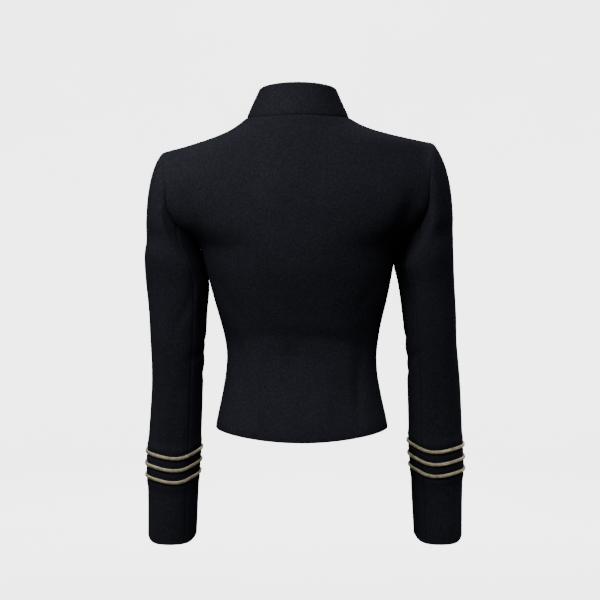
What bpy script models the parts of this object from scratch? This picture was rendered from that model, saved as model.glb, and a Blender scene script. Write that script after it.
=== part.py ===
"""Cropped, fitted jacket with a stand collar and three cuff braids, hollow as it is when worn.

Metres in the scene, millimetres in this file. +Z is up, the back of the jacket faces +Y and
the wearer's left is +X. The origin is the middle of the neck at the height where the
shoulder seams meet the collar. Every cloth wall is a grid of points on the garment's outer
form with a second grid one cloth thickness inside it.
"""

import math

import bmesh
import bpy
import numpy as np
from mathutils import Vector

MM = 0.001

# Cloth and seams
CLOTH = 2.0
COLLAR_CLOTH = 3.0
SEAM_GAP = 0.36

# Main lengths
NECK_HALF_WIDTH = 76.5
BACK_NECK_RISE = 2.0
FRONT_NECK_DROP = 65.0
UNDERARM_HEIGHT = -190.0
SIDE_HEM_HEIGHT = -463.0
BACK_HEM_DROP = 8.0
CUFF_HEIGHT = -645.0
CUFF_SIDE_RISE = 9.0
CUFF_ROUNDING = 6
SHOULDER_TIP = {"left": -51.0, "right": -37.0}

# Armholes, as half depths measured from the side seam
SIDE_SEAM_Y = -6.0
ARMHOLE_BACK_DEPTH = 55.0
ARMHOLE_FRONT_DEPTH = 50.0

# Collar
COLLAR_HEIGHT = 49.0
COLLAR_SIDE_DROP = 3.0
COLLAR_FRONT_HEIGHT = 44.0
COLLAR_LEAN_CENTRE = 0.25
COLLAR_LEAN_SIDE = 0.21
COLLAR_FRONT_GAP = 3.0
COLLAR_CORNER_DROP = 3.0

# Sleeve cap: where it ends, how it leaves the armhole and how full it stands
CAP_END = -225.0
CAP_OUT_MEAN = 0.46
CAP_OUT_SWING = 0.16
CAP_BACK_SWING = 0.12
CAP_FULLNESS = {"left": 0.83, "right": 0.93}

# Front lap and buttons
LAP = 15.0
LAP_DEPTH = CLOTH + 1.4
LAP_MARGIN = 2.0
LAP_BLEND = 30.0
LAP_COLUMN = 0.865
ROW_EASE = 0.5
BUTTON_COUNT = 7
BUTTON_ROWS_APART = 2
BUTTON_SIDES = 14
BUTTON_LIFT = 0.35

# Radius and height of a button's outline, from the middle of its foot to its hollowed top
BUTTON_PROFILE = (
    (0.0, 0.0), (6.7, 0.0), (7.5, 1.2), (7.5, 2.4), (6.6, 3.6), (5.2, 2.9), (0.0, 2.7),
)

# Cuff braid
BRAID_WIDTH = 5.5
BRAID_HEIGHT = 3.0
BRAID_LIFT = 0.35

# Outline of a braid's section, as shares of its width and its height
BRAID_OUTLINE = (
    (-0.5, 0.0), (-0.5, 0.55), (-0.22, 1.0), (0.22, 1.0), (0.5, 0.55), (0.5, 0.0),
)

# Grid steps: panels that meet share their points along the seam
SIDE_STEPS = 11
SIDE_CROWDING = 1.3
ARMHOLE_STEPS = 10
SHOULDER_STEPS = 8
HALF_BACK_STEPS = 11
NECK_STEPS = 6
COLLAR_STEPS = 3
CAP_STEPS = 7
TUBE_STEPS = 13
UNDER_SLEEVE_FROM = 7
UNDER_SLEEVE_TO = 14
DIAGONAL_WAY = np.array([0.37, 0.21, 1.0])

# Edges that turn further than this many degrees are shaded as sharp
SHARP_CLOTH = 50
SHARP_BUTTON = 30

# Colour, roughness and metallic share of each kind of piece
FINISHES = {
    "cloth": ((0.012, 0.0125, 0.016), 0.9, 0.0),
    "braid": ((0.23, 0.17, 0.09), 0.45, 0.6),
    "button": ((0.015, 0.015, 0.017), 0.4, 0.0),
}

# Small steps over which the form's slope is measured, and how finely an angle is searched
SLOPE_TURN = 0.004
SLOPE_DROP = 0.5
HALVINGS = 40
SHOULDER_TRIALS = 400
NO_DEPTH = 1e-9
SAME_PLACE = 1e-6


class Table:
    """Rows of named columns, lowest height first, read as smooth curves between the rows."""

    def __init__(self, columns, *rows):
        self.columns = columns.split()
        self.rows = np.array(rows, float)

    def read(self, column, height):
        heights = self.rows[:, 0]
        values = self.rows[:, self.columns.index(column)]
        return monotone_curve(heights, values, np.asarray(height, float))


def monotone_curve(xs, ys, at):
    """A cubic through the points that never swings past one of them."""
    step = np.diff(xs)
    slope = np.diff(ys) / step
    same_way = slope[1:] * slope[:-1] > 0
    before = 2 * step[1:] + step[:-1]
    after = step[1:] + 2 * step[:-1]
    low = np.where(same_way, slope[:-1], 1.0)
    high = np.where(same_way, slope[1:], 1.0)
    mean = (before + after) / (before / low + after / high)
    grade = np.concatenate([slope[:1], np.where(same_way, mean, 0.0), slope[-1:]])
    k = np.clip(np.searchsorted(xs, at) - 1, 0, len(step) - 1)
    u = np.clip((at - xs[k]) / step[k], 0.0, 1.0)
    start = (1 + 2 * u) * (1 - u) ** 2 * ys[k] + u * (1 - u) ** 2 * step[k] * grade[k]
    end = u**2 * (3 - 2 * u) * ys[k + 1] + u**2 * (u - 1) * step[k] * grade[k + 1]
    return start + end


# Half width of the body by height. The upper rows follow the shoulder seam from the neck
# to the shoulder's tip, and then the swell that carries the armhole.
WIDTHS = Table(
    "height half_width",
    (-495, 134.5),
    (-451, 128.0),
    (-427, 122.7),
    (-403, 117.9),
    (-380, 114.2),
    (-355, 112.8),
    (-343, 113.7),
    (-319, 117.5),
    (-295, 123.2),
    (-271, 129.5),
    (-250, 134.4),
    (-214, 142.3),
    (-200, 145.5),
    (-190, 150.0),
    (-181, 161.0),
    (-170, 179.0),
    (-155, 202.0),
    (-138, 219.0),
    (-120, 227.0),
    (-97, 228.0),
    (-78, 222.0),
    (-60, 210.0),
    (-51, 201.0),
    (-43, 170.0),
    (-35, 144.0),
    (-25.5, 115.5),
    (-19, 100.5),
    (-12.5, 89.5),
    (-6, 81.5),
    (0, 76.5),
)

# Depth behind and in front of the side seam, sideways lean and squareness of each section
SECTIONS = Table(
    "height lean back front squareness",
    (-495, -5.7, 94, 106, 2.35),
    (-460, -5.7, 91, 105, 2.35),
    (-425, -5.5, 85, 102, 2.3),
    (-385, -5.4, 77, 98, 2.3),
    (-345, -5.8, 73, 97, 2.3),
    (-300, -4.6, 79, 106, 2.3),
    (-255, -3.5, 88, 116, 2.3),
    (-215, -2.0, 95, 120, 2.3),
    (-175, -1.0, 98, 115, 2.25),
    (-140, 0.0, 97, 103, 2.2),
    (-100, 0.0, 92, 88, 2.2),
    (-65, 0.0, 82, 70, 2.2),
    (-51, 0.0, 77, 61, 2.2),
    (-35, 0.0, 71.5, 49, 2.15),
    (-20, 0.0, 66.5, 35, 2.1),
    (-8, 0.0, 62.5, 26, 2.1),
    (0, 0.0, 60, 21, 2.1),
)

# Sleeve sections below the underarm, as distances outwards from the jacket's middle
SLEEVES = {
    "left": Table(
        "height outer inner middle half_depth",
        (-650, 232.0, 157.5, -38, 41),
        (-570, 231.0, 153.5, -34, 43),
        (-530, 231.5, 151.5, -31, 44),
        (-500, 230.0, 149.0, -28.5, 44.5),
        (-440, 225.0, 146.0, -23, 45.5),
        (-403, 223.0, 144.5, -20, 46.5),
        (-367, 222.8, 142.0, -17, 48),
        (-331, 223.5, 139.0, -14, 49.5),
        (-295, 224.0, 137.0, -12, 51.5),
        (-250, 225.5, 133.4, -10, 54.5),
        (-225, 226.0, 138.0, -8, 57),
    ),
    "right": Table(
        "height outer inner middle half_depth",
        (-650, 253.5, 180.0, -38, 41),
        (-570, 253.0, 175.0, -34, 43),
        (-530, 253.5, 173.0, -31, 44),
        (-500, 252.0, 170.5, -28.5, 44.5),
        (-440, 249.5, 168.0, -23, 45.5),
        (-403, 247.0, 166.5, -20, 46.5),
        (-367, 243.5, 164.5, -17, 48),
        (-331, 240.0, 161.5, -14, 49.5),
        (-295, 238.5, 157.5, -12, 51.5),
        (-250, 235.5, 151.0, -10, 54.5),
        (-225, 234.0, 145.2, -8, 57),
    ),
}
SLEEVE_SQUARENESS = 2.15

# Height of each braid where it crosses the back of the sleeve
BRAIDS = {"left": (-509.0, -527.7, -546.4), "right": (-499.0, -518.4, -536.6)}

# How far a braid rises above that height as it goes round: a turn of 0 degrees is the
# outer side of the sleeve, 90 its back, 180 its inner side and 270 its front
BRAID_RISE = Table(
    "turn rise",
    (0, 5.6),
    (40, 4.8),
    (60, 3.3),
    (75, 1.4),
    (90, 0.0),
    (102, -0.3),
    (112, 0.6),
    (122, 2.4),
    (132, 5.0),
    (142, 7.2),
    (155, 8.9),
    (180, 10.0),
    (270, 8.0),
    (360, 5.6),
)

# Folds that run down from the back of each armhole: distance outwards and height of the
# crease line, and its depth there
ARMPIT_FOLD = Table(
    "height outwards depth",
    (-225, 139.0, 0.0),
    (-195, 144.0, 3.0),
    (-172, 150.0, 5.0),
    (-145, 160.0, 5.5),
    (-120, 166.0, 4.0),
    (-95, 170.0, 0.0),
)
FOLD_HALF_WIDTH = 14.0
FOLD_FADE = 30.0


def unit(vectors):
    return vectors / np.linalg.norm(vectors, axis=-1, keepdims=True)


def left_height(height, tip):
    """The height on the taller left table that belongs to a height on a side with this tip."""
    ends = [UNDERARM_HEIGHT, tip, 0.0]
    table_ends = [UNDERARM_HEIGHT, SHOULDER_TIP["left"], 0.0]
    return np.where(height > UNDERARM_HEIGHT, np.interp(height, ends, table_ends), height)


def body_point(angle, height):
    """A point of the body's outer form. The angle is 0 at the left side seam, a quarter turn
    at the centre back, and a quarter turn the other way at the centre front."""
    angle = np.asarray(angle, float)
    height = np.asarray(height, float)
    across = np.cos(angle)
    along = np.sin(angle)
    square = SECTIONS.read("squareness", height)
    reach = (np.abs(across) ** square + np.abs(along) ** square) ** (1 / square)
    left = WIDTHS.read("half_width", left_height(height, SHOULDER_TIP["left"]))
    right = WIDTHS.read("half_width", left_height(height, SHOULDER_TIP["right"]))
    depth = np.where(along > 0, SECTIONS.read("back", height), SECTIONS.read("front", height))
    x = SECTIONS.read("lean", height) + np.where(across > 0, left, right) * across / reach
    y = SIDE_SEAM_Y + depth * along / reach
    return np.stack([x, y, height + 0 * angle], -1)


def body_normal(angle, height):
    """The outward direction of the body's form."""
    height = np.minimum(height, 0.0)
    round_it = (body_point(angle + SLOPE_TURN, height)
                - body_point(angle - SLOPE_TURN, height))
    up = body_point(angle, height) - body_point(angle, height - SLOPE_DROP)
    return unit(np.cross(round_it, up))


def angle_where(reached, low, high):
    """Halves the span between two angles until reached(angle) turns from false to true."""
    for _ in range(HALVINGS):
        middle = (low + high) / 2
        hit = reached(middle)
        high = np.where(hit, middle, high)
        low = np.where(hit, low, middle)
    return (low + high) / 2


def armhole_edge(side, face):
    """Angles and heights down one edge of an armhole, from the shoulder's tip to the underarm."""
    turn = np.linspace(0.0, math.pi, ARMHOLE_STEPS + 1)
    tip = SHOULDER_TIP[side]
    height = (tip + UNDERARM_HEIGHT) / 2 + (tip - UNDERARM_HEIGHT) / 2 * np.cos(turn)
    half_depth = ARMHOLE_BACK_DEPTH if face == "back" else ARMHOLE_FRONT_DEPTH
    depth = half_depth * np.sin(turn)
    way = 1.0 if face == "back" else -1.0

    def reached(angle):
        return way * (body_point(angle, height)[..., 1] - SIDE_SEAM_Y) > depth

    angle = angle_where(reached, 0.0 * turn, way * math.pi / 2 + 0.0 * turn)
    angle = np.where(depth < NO_DEPTH, 0.0, angle)
    return (angle if side == "left" else way * math.pi - angle), height


def side_heights():
    """Heights up the side seam, closer together towards the underarm, where the form swells."""
    left_over = np.linspace(1.0, 0.0, SIDE_STEPS + 1) ** SIDE_CROWDING
    return UNDERARM_HEIGHT + (SIDE_HEM_HEIGHT - UNDERARM_HEIGHT) * left_over


def shoulder_heights(side):
    """Heights up the shoulder seam, at even steps outwards, from the tip to the neck."""
    wanted = np.linspace(WIDTHS.read("half_width", SHOULDER_TIP["left"]), NECK_HALF_WIDTH,
                         SHOULDER_STEPS + 1)
    trial = np.linspace(SHOULDER_TIP["left"], 0.0, SHOULDER_TRIALS)
    widths = WIDTHS.read("half_width", trial)
    on_left = np.interp(-wanted, -widths, trial)
    return on_left * SHOULDER_TIP[side] / SHOULDER_TIP["left"]


def back_outline(side):
    """Angles and heights up one side of the back: side seam, armhole and shoulder seam."""
    angle, height = armhole_edge(side, "back")
    seam = 0.0 if side == "left" else math.pi
    heights = np.concatenate([side_heights(), height[::-1][1:], shoulder_heights(side)[1:]])
    angles = np.concatenate([
        np.full(SIDE_STEPS + 1, seam), angle[::-1][1:], np.full(SHOULDER_STEPS, seam)])
    return angles, heights


def back_grid():
    """Angles and heights of the back's grid, from the left edge to the right one."""
    left_angle, left_high = back_outline("left")
    right_angle, right_high = back_outline("right")
    across = np.linspace(0.0, 1.0, 2 * HALF_BACK_STEPS + 1)
    angle = left_angle[:, None] * (1 - across) + right_angle[:, None] * across
    height = left_high[:, None] * (1 - across) + right_high[:, None] * across
    rows = len(left_high) - 1
    up = np.linspace(0.0, 1.0, rows + 1)[:, None]
    low = np.clip(1 - np.arange(rows + 1) / SIDE_STEPS, 0.0, 1.0)[:, None]
    height = height - BACK_HEM_DROP * low * np.sin(angle) ** 2
    height = height + BACK_NECK_RISE * np.clip(up * 4 - 3, 0.0, 1.0) * np.sin(angle) ** 4
    return angle, height


def neck_outline(side):
    """Angles and heights of the front neckline, from the lap's edge round to the shoulder."""
    way = 1.0 if side == "left" else -1.0
    lap_turn = math.asin(LAP / NECK_HALF_WIDTH)
    turn = np.append(math.pi / 2 + lap_turn, np.linspace(math.pi / 2, 0.0, NECK_STEPS + 1))
    x = way * NECK_HALF_WIDTH * np.cos(turn)
    height = -FRONT_NECK_DROP * np.sin(turn)
    angle = front_angle(x, height)
    angle[-1] = 0.0 if side == "left" else -math.pi
    height[-1] = 0.0
    return angle, height


def front_angle(x, height):
    """The angle at which the front of the form lies at x."""
    def reached(angle):
        return body_point(angle, height)[..., 0] < x

    low = np.full(np.shape(x), 0.0)
    high = np.full(np.shape(x), -math.pi)
    return angle_where(reached, low, high)


def front_grid(side):
    """Angles and heights of one front's grid, from its side edge to its lapped edge."""
    arm_angle, arm_high = armhole_edge(side, "front")
    seam = 0.0 if side == "left" else -math.pi
    edge_angle = np.concatenate([np.full(SIDE_STEPS + 1, seam), arm_angle[::-1][1:]])
    edge_high = np.concatenate([side_heights(), arm_high[::-1][1:]])
    neck_angle, neck_high = neck_outline(side)
    rows_below = SIDE_STEPS + ARMHOLE_STEPS - NECK_STEPS
    centre_high = np.linspace(SIDE_HEM_HEIGHT, neck_high[0], rows_below)[:-1]
    way = 1.0 if side == "left" else -1.0
    lean = SECTIONS.read("lean", centre_high)
    lap_angle = np.concatenate([front_angle(lean - way * LAP, centre_high), neck_angle])
    lap_high = np.concatenate([centre_high, neck_high])
    inner_angle = edge_angle * (1 - LAP_COLUMN) + lap_angle * LAP_COLUMN
    inner_high = edge_high * (1 - LAP_COLUMN) + lap_high * LAP_COLUMN
    inner_angle[:rows_below - 1] = front_angle(lean + way * LAP, centre_high)
    inner_high[:rows_below - 1] = centre_high
    across = np.linspace(0.0, 1.0, SHOULDER_STEPS)
    angle = edge_angle[:, None] * (1 - across) + inner_angle[:, None] * across
    up = np.linspace(0.0, 1.0, len(edge_high))[:, None]
    rise = across ** (1 + ROW_EASE * np.sin(math.pi * up))
    height = edge_high[:, None] * (1 - rise) + inner_high[:, None] * rise
    angle = np.column_stack([angle, lap_angle])
    height = np.column_stack([height, lap_high])
    height[-1] = shoulder_heights(side)
    return angle, height


def armpit_fold(points):
    """How far each point is pressed in by the fold below the back of its armhole."""
    line = ARMPIT_FOLD.read("outwards", points[..., 2])
    depth = ARMPIT_FOLD.read("depth", points[..., 2])
    off = (np.abs(points[..., 0]) - line) / FOLD_HALF_WIDTH
    behind = np.clip(points[..., 1] / FOLD_FADE, 0.0, 1.0)
    return depth * behind * np.exp(-off**2)


def mesh_object(name, points, faces):
    """An object from points in millimetres, turned so that its faces point outwards."""
    points = np.asarray(points) * MM
    volume = 0.0
    for face in faces:
        first = points[face[0]]
        for k in range(1, len(face) - 1):
            volume += np.dot(first, np.cross(points[face[k]], points[face[k + 1]]))
    if volume < 0:
        faces = [face[::-1] for face in faces]
    mesh = bpy.data.meshes.new(name)
    mesh.from_pydata(points.tolist(), [], [list(map(int, face)) for face in faces])
    mesh.update()
    mesh.shade_smooth()
    mesh.set_sharp_from_angle(angle=math.radians(SHARP_CLOTH))
    piece = bpy.data.objects.new(name, mesh)
    bpy.context.scene.collection.objects.link(piece)
    return piece


def wall(name, outer, inward, thickness):
    """A closed wall from an open grid of outer points and the directions into the cloth."""
    rows, columns = outer.shape[:2]
    inner = outer + inward * thickness
    points = np.concatenate([outer.reshape(-1, 3), inner.reshape(-1, 3)])
    index = np.arange(rows * columns).reshape(rows, columns)
    under = index + rows * columns
    faces = []
    for i in range(rows - 1):
        for j in range(columns - 1):
            faces.append((index[i, j], index[i, j + 1], index[i + 1, j + 1], index[i + 1, j]))
            faces.append((under[i + 1, j], under[i + 1, j + 1], under[i, j + 1], under[i, j]))
    rim = [*index[0, :], *index[1:, -1], *index[-1, -2::-1], *index[-2:0:-1, 0]]
    for a, b in zip(rim, rim[1:] + rim[:1]):
        faces += end_face(points, a, b, rows * columns)
    return mesh_object(name, points, faces)


def end_face(points, a, b, under):
    """The two triangles of one stretch of a wall's edge. Both walls at a seam are cut along
    the same diagonal, so that their end faces stay parallel where the seam twists."""
    if (points[a] - points[b]) @ DIAGONAL_WAY > 0:
        return [(b, a, a + under), (b, a + under, b + under)]
    return [(b, a, b + under), (a, a + under, b + under)]


def ring_tube(name, sections):
    """A closed tube from a loop of closed sections."""
    count, sides = sections.shape[:2]
    index = np.arange(count * sides).reshape(count, sides)
    faces = []
    for i in range(count):
        for j in range(sides):
            a, b = (i + 1) % count, (j + 1) % sides
            faces.append((index[i, j], index[i, b], index[a, b], index[a, j]))
    return mesh_object(name, sections.reshape(-1, 3), faces)


def folded_body(angle, height):
    """Points of the body's form with the armpit folds pressed in."""
    points = body_point(angle, height)
    return points - body_normal(angle, height) * armpit_fold(points)[..., None]


def grid_normals(grid, closed):
    """Outward directions on a grid whose columns run down a sleeve, from its neighbours."""
    if closed:
        round_it = np.roll(grid, -1, axis=1) - np.roll(grid, 1, axis=1)
    else:
        round_it = np.gradient(grid, axis=1)
    return unit(np.cross(np.gradient(grid, axis=0), round_it))


def mitre(first, second):
    """The way into the cloth that two meeting walls share, long enough to keep them thick."""
    middle = unit(first + second)
    return -middle / np.sum(middle * first, axis=-1, keepdims=True)


def seam_way(into, edge, towards):
    """The direction across a seam, square to its edge and to the way into the cloth."""
    way = unit(np.cross(into, edge))
    return way * np.sign(np.sum(way * towards, axis=-1, keepdims=True))


def square_to(direction, vectors):
    """The vectors without their share along one direction."""
    return unit(vectors - direction * np.sum(vectors * direction, axis=-1, keepdims=True))


def armhole_ring(side):
    """Angles and heights round an armhole: tip, back edge, underarm and up the front edge."""
    back_angle, back_high = armhole_edge(side, "back")
    front_edge, front_high = armhole_edge(side, "front")
    angle = np.concatenate([back_angle, front_edge[-2:0:-1]])
    return angle, np.concatenate([back_high, front_high[-2:0:-1]])


def sleeve_section(side, height):
    """Points round a sleeve at a height: outer side first, then back, inner side and front."""
    way = 1.0 if side == "left" else -1.0
    table = SLEEVES[side]
    outer = table.read("outer", height)
    inner = table.read("inner", height)
    turn = np.linspace(0.0, 2 * math.pi, 2 * ARMHOLE_STEPS, endpoint=False)
    across, along = np.cos(turn), np.sin(turn)
    power = SLEEVE_SQUARENESS
    reach = (np.abs(across) ** power + np.abs(along) ** power) ** (1 / power)
    x = (outer + inner) / 2 + (outer - inner) / 2 * across / reach
    y = table.read("middle", height) + table.read("half_depth", height) * along / reach
    return np.stack([way * x, y, height + 0 * turn], -1)


def sleeve_surface(side):
    """The sleeve's outer points: a cap from the armhole, then level sections to the cuff."""
    way = 1.0 if side == "left" else -1.0
    start = folded_body(*armhole_ring(side))
    end = sleeve_section(side, CAP_END)
    turn = np.linspace(0.0, 2 * math.pi, 2 * ARMHOLE_STEPS, endpoint=False)
    out = CAP_OUT_MEAN + CAP_OUT_SWING * np.cos(turn)
    back = CAP_BACK_SWING * np.sin(turn)
    leave = np.stack([way * out, back, -np.sqrt(1 - out**2 - back**2)], -1)
    arrive = unit(sleeve_section(side, CAP_END - 10.0) - end)
    length = np.linalg.norm(end - start, axis=-1, keepdims=True) * CAP_FULLNESS[side]
    rows = []
    for s in np.linspace(0.0, 1.0, CAP_STEPS + 1)[:-1]:
        here = start * (1 + 2 * s) * (1 - s) ** 2 + leave * length * s * (1 - s) ** 2
        there = end * s**2 * (3 - 2 * s) + arrive * length * s**2 * (s - 1)
        rows.append(here + there)
    for height in np.linspace(CAP_END, CUFF_HEIGHT, TUBE_STEPS + 1)[:-1]:
        rows.append(sleeve_section(side, height))
    rows.append(sleeve_section(side, CUFF_HEIGHT + CUFF_SIDE_RISE * np.cos(turn) ** CUFF_ROUNDING))
    return np.array(rows)


def with_halfway_points(surface):
    """The closed rows of a surface, with a point added halfway along each step."""
    halfway = (surface + np.roll(surface, -1, axis=1)) / 2
    return np.stack([surface, halfway], axis=2).reshape(len(surface), -1, 3)


def armhole_seam(side):
    """For each point round an armhole: the way into the cloth and the way out to the sleeve."""
    surface = sleeve_surface(side)
    normals = outward(grid_normals(surface, True), surface)
    into = mitre(body_normal(*armhole_ring(side)), normals[0])
    edge = np.roll(surface[0], -1, axis=0) - np.roll(surface[0], 1, axis=0)
    return into, seam_way(into, edge, surface[1] - surface[0])


def outward(normals, surface):
    """The normals of a closed sleeve, turned away from its middle line."""
    middle = surface.mean(axis=1, keepdims=True)
    inside = np.sum(normals * (surface - middle)) < 0
    return -normals if inside else normals


def neck_ring():
    """Angles and heights round the neckline, from the centre front by the right shoulder
    and the back to the centre front again."""
    right_angle, right_high = neck_outline("right")
    left_angle, left_high = neck_outline("left")
    back_angle, back_high = back_grid()
    angle = np.concatenate([right_angle[1:], back_angle[-1, -2:0:-1], left_angle[:0:-1]])
    return angle, np.concatenate([right_high[1:], back_high[-1, -2:0:-1], left_high[:0:-1]])


def collar_rise():
    """The direction and the height in which the collar stands up from each neckline point."""
    base = body_point(*neck_ring())
    along = np.gradient(base, axis=0)
    along[:, 2] = 0.0
    level = unit(np.cross(along, [0.0, 0.0, 1.0]))
    if np.sum(level * (base - base.mean(axis=0))) < 0:
        level = -level
    lean = COLLAR_LEAN_CENTRE + COLLAR_LEAN_SIDE * level[:, :1] ** 2
    rise = unit(np.array([0.0, 0.0, 1.0]) - level * lean)
    share = np.clip(-base[:, 2:] / FRONT_NECK_DROP, 0.0, 1.0)
    high = COLLAR_HEIGHT - COLLAR_SIDE_DROP * level[:, :1] ** 2
    return rise, high + (COLLAR_FRONT_HEIGHT - COLLAR_HEIGHT) * share


def neck_seam():
    """For each neckline point: the way into the cloth and the way up to the collar."""
    ring = neck_ring()
    rise, _ = collar_rise()
    edge = np.gradient(body_point(*ring), axis=0)
    across = unit(np.cross(rise, edge))
    skin = body_normal(*ring)
    if np.sum(across * skin) < 0:
        across = -across
    into = mitre(skin, across)
    return into, seam_way(into, edge, rise)


def fit_armhole(outer, into, column, first_row, side, face):
    """Gives a panel's armhole edge the shared end faces of its seam with the sleeve."""
    seam_into, seam_out = armhole_seam(side)
    count = len(seam_into)
    for step in range(ARMHOLE_STEPS + 1):
        k = (count // 2 - step) if face == "back" else (count // 2 + step) % count
        outer[first_row + step, column] -= seam_out[k] * SEAM_GAP / 2
        into[first_row + step, column] = seam_into[k]


def make_back():
    angle, height = back_grid()
    outer = folded_body(angle, height)
    into = -body_normal(angle, height)
    armhole_end = SIDE_STEPS + ARMHOLE_STEPS
    for edge, neighbour in ((0, 1), (-1, -2)):
        shift = unit(outer[:, neighbour] - outer[:, edge]) * SEAM_GAP / 2
        shift[SIDE_STEPS + 1:armhole_end] = 0.0
        outer[:, edge] += shift
    fit_armhole(outer, into, 0, SIDE_STEPS, "left", "back")
    fit_armhole(outer, into, -1, SIDE_STEPS, "right", "back")
    neck_into, neck_up = neck_seam()
    span = slice(NECK_STEPS, NECK_STEPS + 2 * HALF_BACK_STEPS + 1)
    outer[-1] -= neck_up[span][::-1] * SEAM_GAP / 2
    into[-1] = neck_into[span][::-1]
    return wall("back", outer, into, CLOTH)


def front_points(side):
    """Outer points of a front and the ways into its cloth."""
    angle, height = front_grid(side)
    outer = folded_body(angle, height)
    into = -body_normal(angle, height)
    if side == "left":
        past = (outer[..., 0] - LAP - LAP_MARGIN) / LAP_BLEND
        past = np.clip(past, 0.0, 1.0)
        under = LAP_DEPTH * (1 - past**2 * (3 - 2 * past))
        outer = outer + into * under[..., None]
    side_shift = unit(outer[:, 1] - outer[:, 0]) * SEAM_GAP / 2
    side_shift[SIDE_STEPS + 1:] = 0.0
    top_shift = unit(outer[-2] - outer[-1]) * SEAM_GAP / 2
    outer[:, 0] += side_shift
    outer[-1] += top_shift
    fit_armhole(outer, into, 0, SIDE_STEPS, side, "front")
    neck_into, neck_up = neck_seam()
    if side == "right":
        rows = np.append(len(neck_up) - 2, np.arange(NECK_STEPS + 1))
    else:
        rows = np.append(1, len(neck_up) - 1 - np.arange(NECK_STEPS + 1))
    outer[-len(rows):, -1] -= neck_up[rows] * SEAM_GAP / 2
    into[-len(rows):, -1] = neck_into[rows]
    return outer, into


def make_front(side):
    outer, into = front_points(side)
    return wall("front_" + side, outer, into, CLOTH)


def make_collar():
    base = body_point(*neck_ring())
    into, up = neck_seam()
    rise, high = collar_rise()
    share = np.linspace(0.0, 1.0, COLLAR_STEPS + 1)[:, None, None]
    outer = base + up * SEAM_GAP / 2 + rise * high * share
    for edge, neighbour in ((0, 1), (-1, -2)):
        way = unit(outer[:, neighbour] - outer[:, edge])
        outer[:, edge] += way * COLLAR_FRONT_GAP / 2 * (1 + 2 * share[:, 0])
    outer[-1, [0, -1], 2] -= COLLAR_CORNER_DROP
    across = unit(np.cross(rise, np.gradient(base, axis=0)))
    across = across if np.sum(across * into) < 0 else -across
    inward = np.repeat(-across[None], COLLAR_STEPS + 1, axis=0)
    inward[0] = into
    return wall("collar", outer, inward, COLLAR_CLOTH)


def make_sleeve(side):
    """The top and under pieces of one sleeve, cut from the same closed grid."""
    surface = sleeve_surface(side)
    into = -outward(grid_normals(surface, True), surface)
    into[0], out = armhole_seam(side)
    surface[0] += out * SEAM_GAP / 2
    count = surface.shape[1]
    under = np.arange(UNDER_SLEEVE_FROM, UNDER_SLEEVE_TO + 1)
    top = np.arange(UNDER_SLEEVE_TO, UNDER_SLEEVE_FROM + count + 1) % count
    pieces = []
    for cut, columns in (("top", top), ("under", under)):
        grid = pull_in(surface[:, columns])
        pieces.append(wall(f"sleeve_{side}_{cut}", grid, into[:, columns], CLOTH))
    return pieces


def pull_in(grid):
    """Moves both side edges of a grid towards its middle, for half of a seam's gap each."""
    grid = grid.copy()
    first = unit(grid[:, 1] - grid[:, 0]) * SEAM_GAP / 2
    last = unit(grid[:, -2] - grid[:, -1]) * SEAM_GAP / 2
    grid[:, 0] += first
    grid[:, -1] += last
    return grid


def make_braid(side, number, back_height):
    """One cord of braid, laid round the cuff on the sleeve's own points."""
    surface = with_halfway_points(sleeve_surface(side))
    normals = outward(grid_normals(surface, True), surface)
    turn = np.linspace(0.0, 360.0, surface.shape[1], endpoint=False)
    height = back_height + BRAID_RISE.read("rise", turn)
    sections = []
    for k, at in enumerate(height):
        row = int(np.searchsorted(-surface[:, k, 2], -at)) - 1
        share = (surface[row, k, 2] - at) / (surface[row, k, 2] - surface[row + 1, k, 2])
        point = surface[row, k] * (1 - share) + surface[row + 1, k] * share
        down = unit(surface[row + 1, k] - surface[row, k])
        normal = square_to(down, normals[row, k] * (1 - share) + normals[row + 1, k] * share)
        sections.append([
            point + down * BRAID_WIDTH * across + normal * (BRAID_LIFT + BRAID_HEIGHT * up)
            for across, up in BRAID_OUTLINE])
    return ring_tube(f"braid_{side}_{number}", np.array(sections))


def make_button(number):
    """A plain turned button on the middle of the right front's lap."""
    outer, _ = front_points("right")
    row = SIDE_STEPS + ARMHOLE_STEPS - NECK_STEPS - 2 - (number - 1) * BUTTON_ROWS_APART
    corners = outer[row:row + 2, -2:]
    middle = corners.mean(axis=(0, 1))
    up = corners[1].mean(axis=0) - corners[0].mean(axis=0)
    normal = unit(np.cross(corners[:, 1].mean(axis=0) - corners[:, 0].mean(axis=0), up))
    normal = normal if normal[1] < 0 else -normal
    shape = bmesh.new()
    points = [shape.verts.new((radius * MM, 0.0, height * MM))
              for radius, height in BUTTON_PROFILE]
    edges = [shape.edges.new(pair) for pair in zip(points, points[1:])]
    bmesh.ops.spin(shape, geom=points + edges, cent=(0, 0, 0), axis=(0, 0, 1),
                   angle=2 * math.pi, steps=BUTTON_SIDES, use_duplicate=False)
    bmesh.ops.remove_doubles(shape, verts=shape.verts, dist=SAME_PLACE)
    bmesh.ops.recalc_face_normals(shape, faces=shape.faces)
    mesh = bpy.data.meshes.new(f"button_{number}")
    shape.to_mesh(mesh)
    shape.free()
    mesh.shade_smooth()
    mesh.set_sharp_from_angle(angle=math.radians(SHARP_BUTTON))
    piece = bpy.data.objects.new(f"button_{number}", mesh)
    bpy.context.scene.collection.objects.link(piece)
    piece.location = Vector((middle + normal * BUTTON_LIFT) * MM)
    piece.rotation_mode = "QUATERNION"
    piece.rotation_quaternion = Vector(normal).to_track_quat("Z", "Y")
    return piece


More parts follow.
